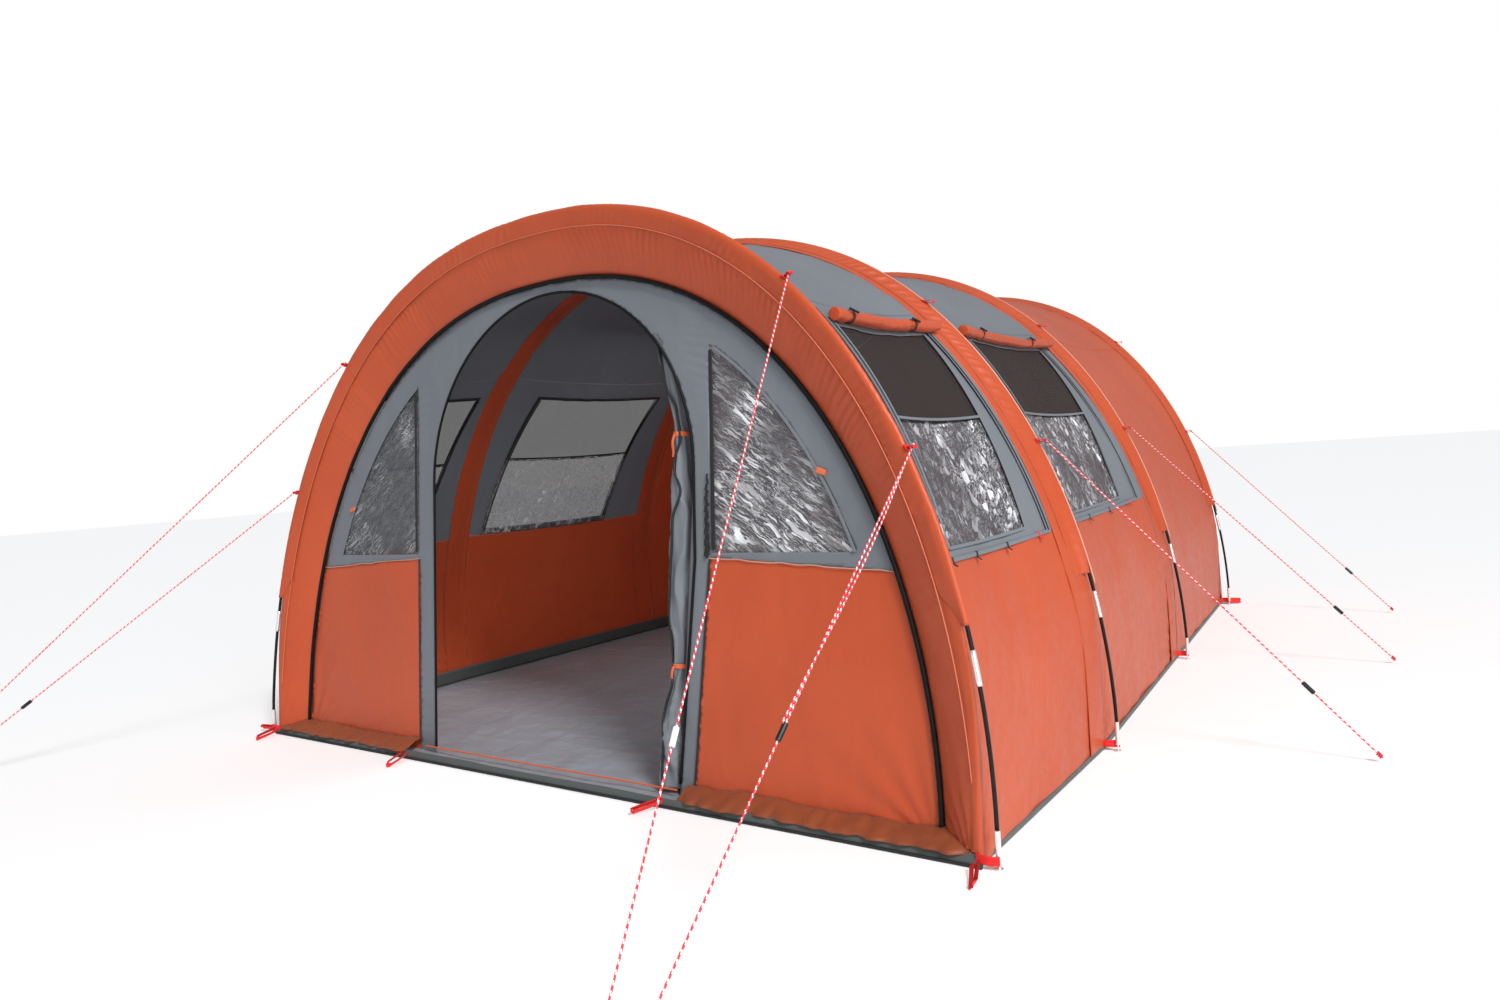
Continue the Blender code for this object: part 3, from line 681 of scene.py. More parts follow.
def resample(loop, step):
    loop = np.asarray(loop, float)
    out = []
    for a, b in zip(loop, np.roll(loop, -1, axis=0)):
        n = max(1, int(round(np.linalg.norm(b - a) / step)))
        out += [a + (b - a) * k / n for k in range(n)]
    return np.array(out)


def inside(points, loop):
    """Whether each flat point is inside a loop."""
    x, y = points[:, 0], points[:, 1]
    result = np.zeros(len(points), bool)
    for a, b in zip(loop, np.roll(loop, -1, axis=0)):
        crosses = (a[1] > y) != (b[1] > y)
        with np.errstate(divide="ignore", invalid="ignore"):
            at = (b[0] - a[0]) * (y - a[1]) / (b[1] - a[1]) + a[0]
        result ^= crosses & (x < at)
    return result


def front_cloth(name, outline, holes, lift, material, replaces=(), cell=0.016,
                depth=0.0,
                thickness=CLOTH):
    """A sheet of cloth cut to outlines on the front wall; lift gives its height off it."""
    points, faces = fill(outline, holes, cell)
    across, up = points[:, 0], points[:, 1]
    places = front(across, up, lift(across, up) + depth)
    turned = np.cross(points[faces[:, 1]] - points[faces[:, 0]], points[faces[:, 2]] - points[faces[:, 0]])
    faces[turned < 0] = faces[turned < 0][:, ::-1]
    obj = mesh_object(name, places, faces, [material])
    thicken(obj, thickness)
    finish_piece(obj, replaces)
    return obj


# Cords

def line_ends(name):
    arch, side, angle, ground, _ = GUY_LINES[name]
    angle = angle if side > 0 else math.pi - angle
    top = arch_point(arch, angle) + arch_outward(arch, angle) * LOOP_REACH
    return top, np.array([*ground, LINE_END_HEIGHT])


def rope(name, path, radius, look, replaces=(), sides=8, pitch=0.018):
    """A braided cord with flecks in a slanting pattern along it."""
    obj = tube(name, path, radius, look["rope"], sides, replaces,
               wave=lambda turn, run: 0.10 * radius * np.sin(turn * 2.0 + run * math.pi * 2.0 / 0.012))
    obj.data.materials.append(look["fleck"])
    count = len(path)
    ring = np.repeat(np.arange(count - 1), sides)
    around = np.tile(np.arange(sides), count - 1)
    step = np.linalg.norm(np.diff(path, axis=0), axis=1).mean()
    picks = ((ring * step / pitch + around / sides) % 1.0 < 0.36).astype(np.int32)
    picks = np.concatenate([picks, np.zeros(len(obj.data.polygons) - len(picks), np.int32)])
    obj.data.polygons.foreach_set("material_index", picks)
    return obj


def add_guy_lines(look):
    for name, (_, _, _, _, place) in GUY_LINES.items():
        top, low = line_ends(name)
        long = float(np.linalg.norm(low - top))
        count = int(long / 0.0045)
        path = top + (low - top) * np.linspace(0.0, 1.0, count)[:, None]
        node, runner = f"guy_line_{name}", f"runner_{name}"
        cord = rope(f"cord_{name}", path, LINE_RADIUS, look, [node])
        knot = add_knot(f"knot_{name}", low + (top - low) / long * 0.012, (top - low) / long, look)
        light = name.endswith("upper")
        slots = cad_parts[runner].material_slots
        slots[0].material = look["runner_light" if light else "runner_dark"]
        if name == "front_right_lower":
            add_second_strand(look, top, low, place)


def add_second_strand(look, top, low, place):
    """The end that comes back from the runner to the loop, clear of the runner where it slides."""
    length = float(np.linalg.norm(low - top)) * (place - 0.01)
    way = unit(low - top)
    side = unit(np.cross(way, [0.0, 0.0, 1.0]))
    other = np.cross(way, side)
    k = np.linspace(0.004, length, int(length / 0.0045))
    turn = 0.6 + k * 2.0 * math.pi / 1.3
    away = 0.0052 + 0.0048 * smooth(k / 0.12)
    path = top + way * k[:, None] + (np.cos(turn)[:, None] * side + np.sin(turn)[:, None] * other) * away[:,
            None]
    cord = rope("cord_front_right_lower_return", path, LINE_RADIUS, look)


def add_knot(name, place, direction, look):
    """A small knot: three turns of cord round the line."""
    side = unit(np.cross(direction, [0.0, 0.0, 1.0]))
    other = np.cross(direction, side)
    turns = np.linspace(0.0, 1.0, 48)
    angle = turns * 3.0 * 2.0 * math.pi
    path = place + direction * (turns[:, None] - 0.5) * 0.018
    path = path + (np.cos(angle)[:, None] * side + np.sin(angle)[:, None] * other) * 0.0052
    return tube(name, path, 0.0024, look["rope"], 6)


# Pieces

def add_poles(look):
    for arch in range(4):
        foot = math.asin(POLE_START / (HEIGHT * ARCH_HEIGHT[arch]))
        angles = np.linspace(foot, math.pi - foot, 200)
        points = arch_point(arch, angles)
        points[[0, -1], 2] = POLE_START
        tube(f"rod_{arch + 1}", points, 0.006, look["pole"], 12, [f"pole_{arch + 1}"])
        for side, label in ((1, "right"), (-1, "left")):
            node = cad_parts[f"pole_foot_{label}_{arch + 1}"]
            node.material_slots[0].material = look["ferrule"]
            run = angle_for_height(arch, (0.455, 0.545), side)
            tube(f"ferrule_{label}_{arch + 1}", arch_point(arch, run), 0.0078, look["ferrule"], 12)


def angle_for_height(arch, heights, side, count=8):
    angles = np.arcsin((np.linspace(*heights, count) / (HEIGHT * ARCH_HEIGHT[arch])) ** (1.0 / TOP_POWER))
    return angles if side > 0 else math.pi - angles


def wall_lift(bay, run, y, seed):
    """Wrinkles of a side wall: soft folds down it, puckers at its seams and creases from the pegs."""
    long = bay_length(bay)
    edge = np.minimum(y, long - y)
    lift = 0.0045 * noise(y / 0.34, run / 0.5, seed) + 0.0030 * noise(y / 0.085 + noise(y, run / 0.4, 5),
            run / 0.7, seed + 1)
    lift += 0.0020 * np.exp(-edge / 0.06) * puckers(run + 0.3 * y, y, 0.036, seed + 2)
    half = RUN[-1] / 2.0
    low = np.minimum(run, 2.0 * half - run)
    for start in (0.0, long):
        angle = np.arctan2(np.abs(y - start) + 1e-6, low + 1e-6)
        far = np.hypot(y - start, low)
        fade = smooth(far / 0.10) * np.exp(-far / 0.34)
        lift += 0.0075 * fade * puckers(angle * 0.20, far, 0.045, seed + 3)
    top = run_of(ROOF_FROM)
    return (lift - 0.002) * (0.1 + 0.9 * smooth(np.abs(low - top) / 0.09)) * (0.1
            + 0.9 * smooth(edge / 0.030))


def window_slant(place, angle, first, last):
    """The window leans: its back edge is further back at the top."""
    part = (place - first) / (last - first)
    return place + 0.50 * (angle - 0.60) * smooth(angle / GREY_FROM) * 4.0 * np.clip(part * (1.0 - part),
            0.0, 1.0)


def add_walls(look):
    for bay in range(3):
        long = bay_length(bay)
        first = (0.001, 0.008, 0.008)[bay] / long
        last = 1.0 - (BAND_FRONT / long if bay < 2 else 0.006 / long)
        for side, label in ((1, "right"), (-1, "left")):
            seed = 20 * bay + (10 if side > 0 else 0)

            def grid(places, angles):
                s, t = np.meshgrid(places, angles)
                s = window_slant(s, t, first, last) if bay < 2 else s
                t = t if side > 0 else math.pi - t
                points = skin(bay, s, t)
                lift = wall_lift(bay, run_of(t), s * long, seed)
                return (points, lift) if side > 0 else (points[:, ::-1], lift[:, ::-1])

            node = [f"wall_{label}_{bay + 1}"]
            step = 0.013 / long
            if bay == 2:
                places, angles = samples(first, last, step), samples(0.0, ROOF_FROM, 0.0065)
                cloth(f"wall_{label}_3_cloth", *grid(places, angles), look["orange"], "orange_fabric", node,
                      flat=(1.60, 1.72), rests_on=["sleeve_3", "sleeve_4"])
                continue
            places = samples(first, last, step)
            angles = samples(0.0, GREY_FROM + 0.006, 0.0065)
            cloth(f"wall_{label}_{bay + 1}_lower", *grid(places, angles), look["orange"], "orange_fabric",
                  node,
                  flat=((0.98, 0.86), (1.42, 0.86))[bay], rests_on=[f"sleeve_{bay + 1}", f"sleeve_{bay + 2}"])
            places = samples(first, last, step, WINDOW_FRONT, WINDOW_BACK)
            angles = samples(GREY_FROM, ROOF_FROM, 0.0065, WINDOW_LOW, WINDOW_HIGH)
            s, t = np.meshgrid((places[1:] + places[:-1]) / 2.0, (angles[1:] + angles[:-1]) / 2.0)
            hole = (s > WINDOW_FRONT) & (s < WINDOW_BACK) & (t > WINDOW_LOW) & (t < WINDOW_HIGH)
            keep = ~hole if side > 0 else ~hole[:, ::-1]
            points, lift = grid(places, angles)
            cloth(f"wall_{label}_{bay + 1}_upper", points, lift + 0.0004, look["grey"], "grey_fabric", node,
                  keep,
                  flat=((0.98, 1.02), (1.42, 1.02))[bay], rests_on=[f"sleeve_{bay + 1}", f"sleeve_{bay + 2}"])
            add_side_window(look, bay, side, label, grid)


def add_side_window(look, bay, side, label, grid):
    long = bay_length(bay)
    node = [f"window_{label}_{bay + 1}"]
    lap = 0.012
    places = samples(WINDOW_FRONT - lap, WINDOW_BACK + lap, 0.009 / long)
    angles = samples(WINDOW_MIDDLE - 0.004, WINDOW_HIGH + lap, 0.008)
    points, lift = grid(places, angles)
    cloth(f"window_{label}_{bay + 1}_mesh", points, lift - 0.0045, look["mesh"], "window_film", node,
          flat=((0.72, 0.46), (1.02, 0.46))[bay], rests_on=[f"wall_{label}_{bay + 1}_upper"],
          thickness=0.0006)
    angles = samples(WINDOW_LOW - lap, WINDOW_MIDDLE, 0.0045)
    points, lift = grid(places, angles)
    y, run = points[..., 1], run_of(np.meshgrid(places, angles)[1])
    run = run if side > 0 else run[:, ::-1]
    seed = 70 + 4 * bay + side
    creases = ridges(y / 0.10 + noise(run / 0.1, y / 0.2, 3), run / 0.07, seed) ** 3
    fine = ridges(y / 0.035, run / 0.05 + noise(y / 0.05, run / 0.05, 9), seed + 1) ** 2
    folds = noise(y / 0.022 + 2.0 * noise(y / 0.2, run / 0.3, 8), run / 0.22, seed + 2)
    lift = lift - 0.0060 + 0.0022 * creases + 0.0014 * fine + 0.0014 * folds
    cloth(f"window_{label}_{bay + 1}_film", points, lift, look["film"], "window_film", node,
          flat=((0.72, 0.50), (1.02, 0.50))[bay], rests_on=[f"wall_{label}_{bay + 1}_upper"],
          thickness=0.0005)


def add_bands(look):
    """Orange strips of the skin, just before the second and third arches."""
    for arch in (1, 2):
        bay = arch - 1
        long, behind = bay_length(bay), bay_length(arch)
        offsets = samples(-BAND_FRONT - 0.010, 0.020, 0.010)
        t, v = np.meshgrid(samples(0.0, math.pi, 0.008), offsets, indexing="ij")
        before, after = skin(bay, 1.0 + np.minimum(v, 0.0) / long, t), skin(arch,
                np.maximum(v, 0.0) / behind, t)
        points = np.where((v < 0.0)[..., None], before, after)
        lift = 0.0014 + 0.0010 * noise(v / 0.05, run_of(t) / 0.05, 40 + arch) - 0.0030 * (v > 0.010)
        cloth(f"arch_band_{arch + 1}", points, lift, look["orange"], "orange_fabric", flat=(0.18, 5.05),
              rests_on=[f"pole_{arch + 1}"], thickness=0.0030)


def add_roofs(look):
    for bay in range(3):
        long = bay_length(bay)
        last = 1.0 - (BAND_FRONT / long if bay < 2 else 0.006 / long)
        s, t = np.meshgrid(samples((0.001, 0.008, 0.008)[bay] / long, last, 0.014 / long),
                           samples(ROOF_FROM - 0.009, math.pi - ROOF_FROM + 0.009, 0.0070))
        y, run = s * long, run_of(t)
        edge = np.minimum(y, long - y)
        lift = 0.004 * noise(y / 0.4, run / 0.45, 30 + bay) + 0.0018 * noise(y / 0.5, run / 0.07, 33 + bay)
        lift += 0.0020 * np.exp(-edge / 0.08) * puckers(run + 0.3 * y, y, 0.040, 36)
        ends = np.minimum(run - run_of(ROOF_FROM), run_of(math.pi - ROOF_FROM) - run)
        lift = (lift - 0.001) * (0.1 + 0.9 * smooth(ends / 0.09)) + 0.0008
        grey = bay < 2
        cloth(f"roof_{bay + 1}_cloth", skin(bay, s, t), lift, look["grey" if grey else "orange"],
              "grey_fabric" if grey else "orange_fabric", [f"roof_{bay + 1}"],
              flat=((0.98, 2.72), (1.42, 2.72), (1.60, 2.72))[bay],
              rests_on=[f"sleeve_{bay + 1}", f"sleeve_{bay + 2}"])


def around_arch(arch, t, v):
    """The skin beside an arch, v metres behind it."""
    if arch == 3:
        behind = skin_on_arch(3, t) + arch_back(3) * np.maximum(v, 0.0)[..., None]
    else:
        behind = skin(arch, np.maximum(v, 0.0) / bay_length(arch), t)
    before = skin(arch - 1, 1.0 + np.minimum(v, 0.0) / bay_length(arch - 1), t)
    return np.where((v < 0.0)[..., None], before, behind)


def add_sleeves(look):
    """Loose tunnels of cloth round the poles, sewn down in front of them and puckered."""
    for arch in range(1, 4):
        end = math.asin(SLEEVE_END / (HEIGHT * ARCH_HEIGHT[arch]))
        t, v = np.meshgrid(samples(end, math.pi - end, 0.0042), samples(-0.080, 0.012, 0.0046, 0.0),
                           indexing="ij")
        base, outward, run = around_arch(arch, t, v), arch_outward(arch, t), run_of(t)
        wide = 0.030 + 0.050 * smooth((base[..., 2] - 0.60) / 0.34)
        slope = np.where(v < 0.0, smooth((v + wide) / (wide - 0.012)), smooth((0.0125 - v) / 0.007))
        loose = np.sin(np.pi * np.clip((v + 0.080) / 0.074, 0.0, 1.0))
        gather = puckers(run + v * 0.9, v, 0.040, 50 + arch)
        open_end = smooth((base[..., 2] - SLEEVE_END) / 0.16)
        loose = loose * open_end
        rise = 0.0030 * open_end - 0.0004 * (1.0 - open_end) + 0.0195 * slope + loose * (0.0058 * gather
                + 0.0034 * noise(run / 0.10, v / 0.05, 60 + arch))
        points = base + outward * np.maximum(rise, 0.0018)[..., None]
        sew_sleeve(look, arch, points)
        angles = samples(end - 0.02, math.pi - end + 0.02, 0.008)
        line = arch_point(arch, angles) + arch_outward(arch, angles) * 0.0068 + arch_back(arch) * 0.0105
        tube(f"crest_seam_{arch + 1}", line, 0.0028, look["seam"], 6)
    end = math.asin(SLEEVE_END / HEIGHT)
    t, k = np.meshgrid(samples(end, math.pi - end, 0.0048), np.linspace(0.0, 1.0, 19), indexing="ij")
    stops = np.linspace(0.0, 1.0, 9)
    v = np.interp(k, stops, (0.0065, 0.0035, -0.0040, -0.0090, -0.0100, -0.0040, 0.0050, 0.0120, 0.0240))
    rise = np.interp(k, stops, (-0.0600, -0.0500, -0.0300, -0.0140, 0.0000, 0.0088, 0.0085, -0.0020, -0.0120))
    high = arch_point(0, t)[..., 2]
    open_end = smooth((high - SLEEVE_END) / 0.14)
    turn = np.radians(np.interp(k, stops, (285.0, 260.0, 235.0, 205.0, 180.0, 120.0, 70.0, 10.0, -35.0)))
    v = v * open_end + 0.0095 * np.cos(turn) * (1.0 - open_end)
    rise = rise * open_end + 0.0095 * np.sin(turn) * (1.0 - open_end)
    run = run_of(t)
    slack = 0.0018 * noise(run / 0.09, k * 2.0, 71) + 0.0026 * puckers(run + 0.05 * k, k * 0.1, 0.034,
            72) * (1.0 - k)
    points = arch_point(0, t) + arch_outward(0, t) * (rise + slack * (k > 0.4))[..., None]
    points = points + arch_back(0) * (v - slack * (k <= 0.4))[..., None]
    sew_sleeve(look, 0, points)
    angles = samples(0.10, math.pi - 0.10, 0.008)
    line = arch_point(0, angles) - arch_outward(0, angles) * 0.0600 + arch_back(0) * 0.0040
    tube("brow_seam", line, 0.0018, look["stitch"], 6)


def sew_sleeve(look, arch, points):
    obj = mesh_object(f"sleeve_{arch + 1}_cloth", points, grid_faces(*points.shape[:2]), [look["orange"]])
    thicken(obj, 0.0012)
    finish_piece(obj, [f"sleeve_{arch + 1}"])


def add_front_wall(look):
    middle, spring, radius = door_centre()
    lower = float(angle_at_height(PANEL_TOP - PANEL_DROP, 0.004))
    arc = [(middle + radius * math.cos(a), spring + radius * math.sin(a))
           for a in np.linspace(math.pi, 0.0, 60)]
    ring = [tuple(p) for p in piping_point(np.linspace(lower, math.pi - lower, 120), 0.004)]
    outline = [(COLUMN_RIGHT_FOOT, HEM_LIFT), (COLUMN_RIGHT, PANEL_TOP), *ring, (COLUMN_LEFT, PANEL_TOP),
               (COLUMN_LEFT, HEM_LIFT), (DOOR_LEFT, HEM_LIFT), *arc, (DOOR_RIGHT_FOOT, HEM_LIFT)]
    windows = [front_window_outline(side) for side in (1, -1)]

    def frame_lift(across, up):
        door = np.abs(np.hypot(across - middle, np.maximum(up - spring, 0.0)) - radius)
        side_gap = np.where(across > 0, across - 0.65, -across - 0.63)
        lift = 0.0030 * noise(across / 0.3, up / 0.3, 81) + 0.0012 * noise(across / 0.06, up / 0.06, 82)
        column = smooth((1.62 - up) / 0.10) * (np.abs(across) < 0.80)
        ripple = puckers(up + 0.15 * np.abs(across), across, 0.032, 83)
        lift += column * 0.0040 * ripple * (0.6
                                            + 0.4 * noise(up / 0.2, across, 84)) * np.clip(side_gap / 0.03,
                                                    0.2, 1.0)
        return lift * (0.1 + 0.9 * smooth((door - 0.022) / 0.04)) + 0.0008 * np.exp(-door / 0.01)

    front_cloth("front_frame_cloth", outline, windows, frame_lift, look["grey"],
                ["front_frame"], 0.0125)
    for side, label in ((1, "right"), (-1, "left")):
        post, foot = (COLUMN_RIGHT, COLUMN_RIGHT_FOOT) if side > 0 else (-COLUMN_LEFT, -COLUMN_LEFT)
        low, high = float(angle_at_height(HEM_LIFT, 0.004)), float(angle_at_height(PANEL_TOP - PANEL_DROP,
                0.004))
        panel = [(post, PANEL_TOP + 0.006), (foot, HEM_LIFT)]
        panel += [tuple(p) for p in piping_point(np.linspace(low, high, 30), 0.004)]
        panel = [(side * a, u) for a, u in panel]

        def panel_lift(across, up, side=side):
            lift = 0.0030 * noise(across / 0.28, up / 0.22, 90 + side) + 0.0013 * noise(across / 0.05
                    + up * 3.0, up / 0.30, 92)
            x, y = np.abs(across) - 1.50, up
            far = np.hypot(x, y)
            lift += 0.004 * smooth(far / 0.08) * np.exp(-far / 0.25) * np.sin(np.arctan2(-x, y + 1e-6) * 16.0)
            edge = np.abs(across) - (0.70 if side > 0 else 0.73)
            lift += 0.0022 * np.exp(-edge / 0.05) * puckers(up + 0.2 * edge, edge, 0.034, 93)
            return lift + 0.0018 * np.exp(-np.maximum(PANEL_TOP - 0.02 - up, 0.0) / 0.04) * puckers(across,
                    up, 0.030, 94)

        front_cloth(f"front_panel_{label}_cloth", panel, [], panel_lift, look["orange"],
                    [f"front_panel_{label}"], 0.014, 0.0016)

        def pane_lift(across, up, side=side):
            slope = (np.abs(across) - 0.7) * 0.62 + up
            creases = np.sin(slope / 0.0075 + 3.0 * noise(across / 0.10, up / 0.10, 95 + side))
            lift = 0.0016 * creases * (0.55 + 0.45 * noise(across / 0.15, up / 0.15, 97))
            high = smooth((up - 1.12) / 0.18)
            crumple = ridges(across / 0.030, up / 0.035, 98) ** 2 * 0.0022
            return lift * (1.0 - 0.7 * high) + crumple * high + 0.0012 * noise(across / 0.03, up / 0.03, 99)

        # The left pane takes the darker film copy, whose colour paints shade.
        front_cloth(f"front_window_{label}_film", front_window_outline(side, 0.012), [], pane_lift,
                    look["front_film" if side > 0 else "left_film_painted_shade"],
                    [f"front_window_{label}"], 0.0085,
                    -0.006, 0.0005)
    add_front_trim(look, arc, spring)


def front_window_outline(side, grow=0.0):
    inset = FRONT_WINDOW_MARGIN - grow
    post = (COLUMN_RIGHT if side > 0 else -COLUMN_LEFT) + 0.008 - grow
    sill = WINDOW_SILL - grow
    angles = np.linspace(float(angle_at_height(sill, inset)), math.pi / 2.0, 2000)
    points = piping_point(angles, inset)
    points = points[points[:, 0] >= post][::60]
    outline = [(post, sill), *[tuple(p) for p in points]]
    top = np.interp(-post, -piping_point(angles, inset)[:, 0], piping_point(angles, inset)[:, 1])
    outline.append((post, float(top)))
    return [(side * a, u) for a, u in outline]


def add_front_trim(look, arc, spring):
    """Zips and piping of the front wall."""
    angles = samples(float(angle_at_height(0.03)), math.pi - float(angle_at_height(0.03)), 0.008)
    ring = piping_point(angles)
    wander = 0.0012 * noise(run_of(angles) / 0.12, 0.0, 101)
    tube("front_zip", front(ring[:, 0], ring[:, 1], 0.011 + wander), 0.0076, look["zip"], 8)
    left = [(DOOR_LEFT, u) for u in np.arange(0.03, spring, 0.02)]
    right = [(DOOR_RIGHT_FOOT + (DOOR_RIGHT - DOOR_RIGHT_FOOT) * min(u / PANEL_TOP, 1.0), u)
             for u in np.arange(spring, 0.03, -0.02)]
    path = np.array(left + [tuple(p) for p in arc] + right)
    tube("door_zip", front(path[:, 0], path[:, 1], 0.003), 0.0048, look["zip"], 8)


def add_brow(look):
    low = 0.012
    t, v = np.meshgrid(samples(low, math.pi - low, 0.0042), samples(0.0, 1.0, 0.06), indexing="ij")
    outer = skin_on_arch(0, t)
    ring = piping_point(t, -0.001)
    inner = front(ring[..., 0], ring[..., 1], 0.001)
    for points in (outer, inner):
        points[..., 2] = np.maximum(points[..., 2], 0.022)
    points = outer + (inner - outer) * v[..., None]
    run = run_of(t)
    points[..., 1] -= 0.012 * 4.0 * v * (1.0 - v)
    points[..., 2] = np.maximum(points[..., 2], 0.022 + 0.020 * np.sin(math.pi * v) ** 0.7)
    width = np.linalg.norm(outer - inner, axis=-1)
    d = v * width
    lift = 0.0022 * noise(run / 0.30, d / 0.12, 110) + 0.0014 * noise(run / 0.05, d / 0.20, 111)
    high = smooth((run - 1.0) / 0.4) * smooth((RUN[-1] - 0.9 - run) / 0.5)
    pucker = puckers(run + 0.12 * d, d, 0.030, 112, 0.35) * (0.35 + 0.65 * high)
    lift += 0.0042 * pucker * smooth((d - 0.04) / 0.02) * np.exp(-np.maximum(d - 0.06, 0.0) / 0.085)
    lift += 0.0016 * puckers(run - 0.2 * d, d, 0.024, 114, 0.3) * np.exp(-np.maximum(width - d, 0.0) / 0.03)
    foot = np.minimum(run, RUN[-1] - run)
    far = np.hypot(foot, d)
    lift += 0.0075 * smooth(far / 0.06) * np.exp(-far / 0.30) * puckers(np.arctan2(d, foot + 0.02) * 0.20,
            far, 0.040, 116)
    lift *= 0.1 + 0.9 * smooth(np.minimum(d, width - d) / 0.020)
    cloth("brow_band_cloth", points, -lift, look["orange"], "orange_fabric", ["brow_band"], flat=(0.30, 5.05),
          rests_on=["sleeve_1"], offset=1.0)


def back_line(angle):
    top = skin_on_arch(3, angle) + np.array([0.0, 0.009, 0.0])
    across = skin_on_arch(3, 0.0)[0] * np.cos(angle)
    depth = BACK_DEPTH * np.maximum(np.sin(angle), 0.0) ** 0.6
    return top, np.stack([across, top[..., 1] + depth, np.full_like(across, HEM_LIFT)], axis=-1)


def add_back(look):
    t, v = np.meshgrid(samples(0.03, math.pi - 0.03, 0.011), samples(0.0, 1.0, 0.008), indexing="ij")
    top, base = back_line(t)
    bulge = 0.04 * np.sin(np.pi * v) * np.sin(t)
    points = top + (base - top) * v[..., None]
    points[..., 1] += bulge
    points[..., 2] += bulge
    x, z = points[..., 0], points[..., 2]
    lift = 0.006 * noise(x / 0.5, z / 0.4, 120) + 0.0028 * noise(x / 0.09 + noise(z, x, 121), z / 0.8, 122)
    lift += 0.0018 * np.exp(-v * 2.0 / 0.08) * np.sin(run_of(t) / 0.018
            + 2.0 * noise(run_of(t) / 0.2, v, 123))
    cloth("back_wall_cloth", points, lift * np.sin(t) ** 0.5 - 0.002, look["orange"], "orange_fabric",
          ["back_wall"],
          flat=(3.10, 2.30), rests_on=["sleeve_4"])


def floor_half_width(y):
    """Half the floor's width at places along it."""
    inset = 0.010
    widths = []
    places = []
    for bay in range(3):
        s = np.linspace(0.0, 1.0, 20)
        points = skin(bay, s, np.zeros(20))
        places.append(points[:, 1])
        widths.append(points[:, 0] - inset)
    angles = np.linspace(0.0, math.pi / 2.0, 40)
    base = back_line(angles)[1]
    places.append(base[1:, 1] - 0.02)
    widths.append(np.maximum(base[1:, 0] * 0.99 - inset, 0.02))
    order = np.argsort(np.concatenate(places))
    return np.interp(y, np.concatenate(places)[order], np.concatenate(widths)[order])


def add_floor(look):
    y = samples(ARCH_Y[0] + 0.004, 2.30, 0.015)
    u = samples(-1.0, 1.0, 0.0135)
    u, yy = np.meshgrid(u, y)
    half = floor_half_width(yy)
    x = u * half
    lift = 0.0055 * np.abs(noise(x / 0.5, yy / 0.30, 130)) + 0.004 * np.clip(ridges(x / 0.55
            + noise(yy, x, 1), yy / 0.16, 131), 0, 1) ** 3
    lift += 0.0016 * noise(x / 0.09, yy / 0.05, 132)
    lift += 0.0040 * np.clip(ridges(x / 0.24 + yy * 1.3, yy / 0.35, 133), 0, 1) ** 5
    lift *= smooth((half - np.abs(x)) / 0.05) * smooth((yy + 2.30) / 0.05)
    lift += 0.0050 * np.clip(ridges(x / 0.9 + 0.4 * noise(yy / 0.5, x, 137), yy / 0.11 + x * 0.6, 138), 0,
                             1) ** 4 * smooth((half - np.abs(x)) / 0.10)
    points = np.stack([x, yy, 0.0032 + np.maximum(lift, 0.0)], axis=-1)
    obj = mesh_object("floor_cloth", points, grid_faces(*x.shape), [look["lining"]])
    thicken(obj, 0.0012)
    finish_piece(obj, ["groundsheet"])
    side = np.linspace(ARCH_Y[0] + 0.004, 2.28, 220)
    right = np.stack([floor_half_width(side) + 0.002, side], axis=1)
    path = np.concatenate([right, right[::-1] * [-1, 1]])
    count = len(path)
    high = np.full(count, 0.072)
    outline = path
    edge = unit(np.roll(outline, -1, axis=0) - np.roll(outline, 1, axis=0))
    outward = np.stack([edge[:, 1], -edge[:, 0]], axis=1)
    levels = np.linspace(0.0, 1.0, 7)
    wave = 0.0015 * noise(np.arange(count) / 6.0, 0.0, 135)
    rows = []
    for level in levels:
        shift = outward * (0.002 * level + wave[:, None] * level)
        rows.append(np.concatenate([outline + shift - outward * 0.012 * level,
                                    (0.002 + high * level)[:, None]], axis=1))
    grid = np.stack(rows, axis=0)
    obj = mesh_object("floor_rim", grid, grid_faces(len(levels), count), [look["rim"]])
    thicken(obj, 0.0016)
    finish_piece(obj)
    front_x = np.linspace(-1.0, 1.0, 160)
    wave = 0.003 * noise(front_x * 9.0, 0.0, 136)
    rows = []
    for level in (0.0, 0.35, 0.7, 1.0):
        rows.append(np.stack([front_x * 1.66, ARCH_Y[0] - 0.006 + 0.012 * level + wave * level, 0.002
                              + 0.026 * level + wave * level * 0.6], axis=1))
    grid = np.stack(rows, axis=0)
    obj = mesh_object("floor_sill", grid, grid_faces(4, 160), [look["rim"]])
    thicken(obj, 0.0016)
    finish_piece(obj)
    path = np.stack([front_x * 1.66, np.full(160, ARCH_Y[0] - 0.009), np.full(160, 0.0045)], axis=1)
    tube("floor_sill_cord", path, 0.0042, look["black"], 6)


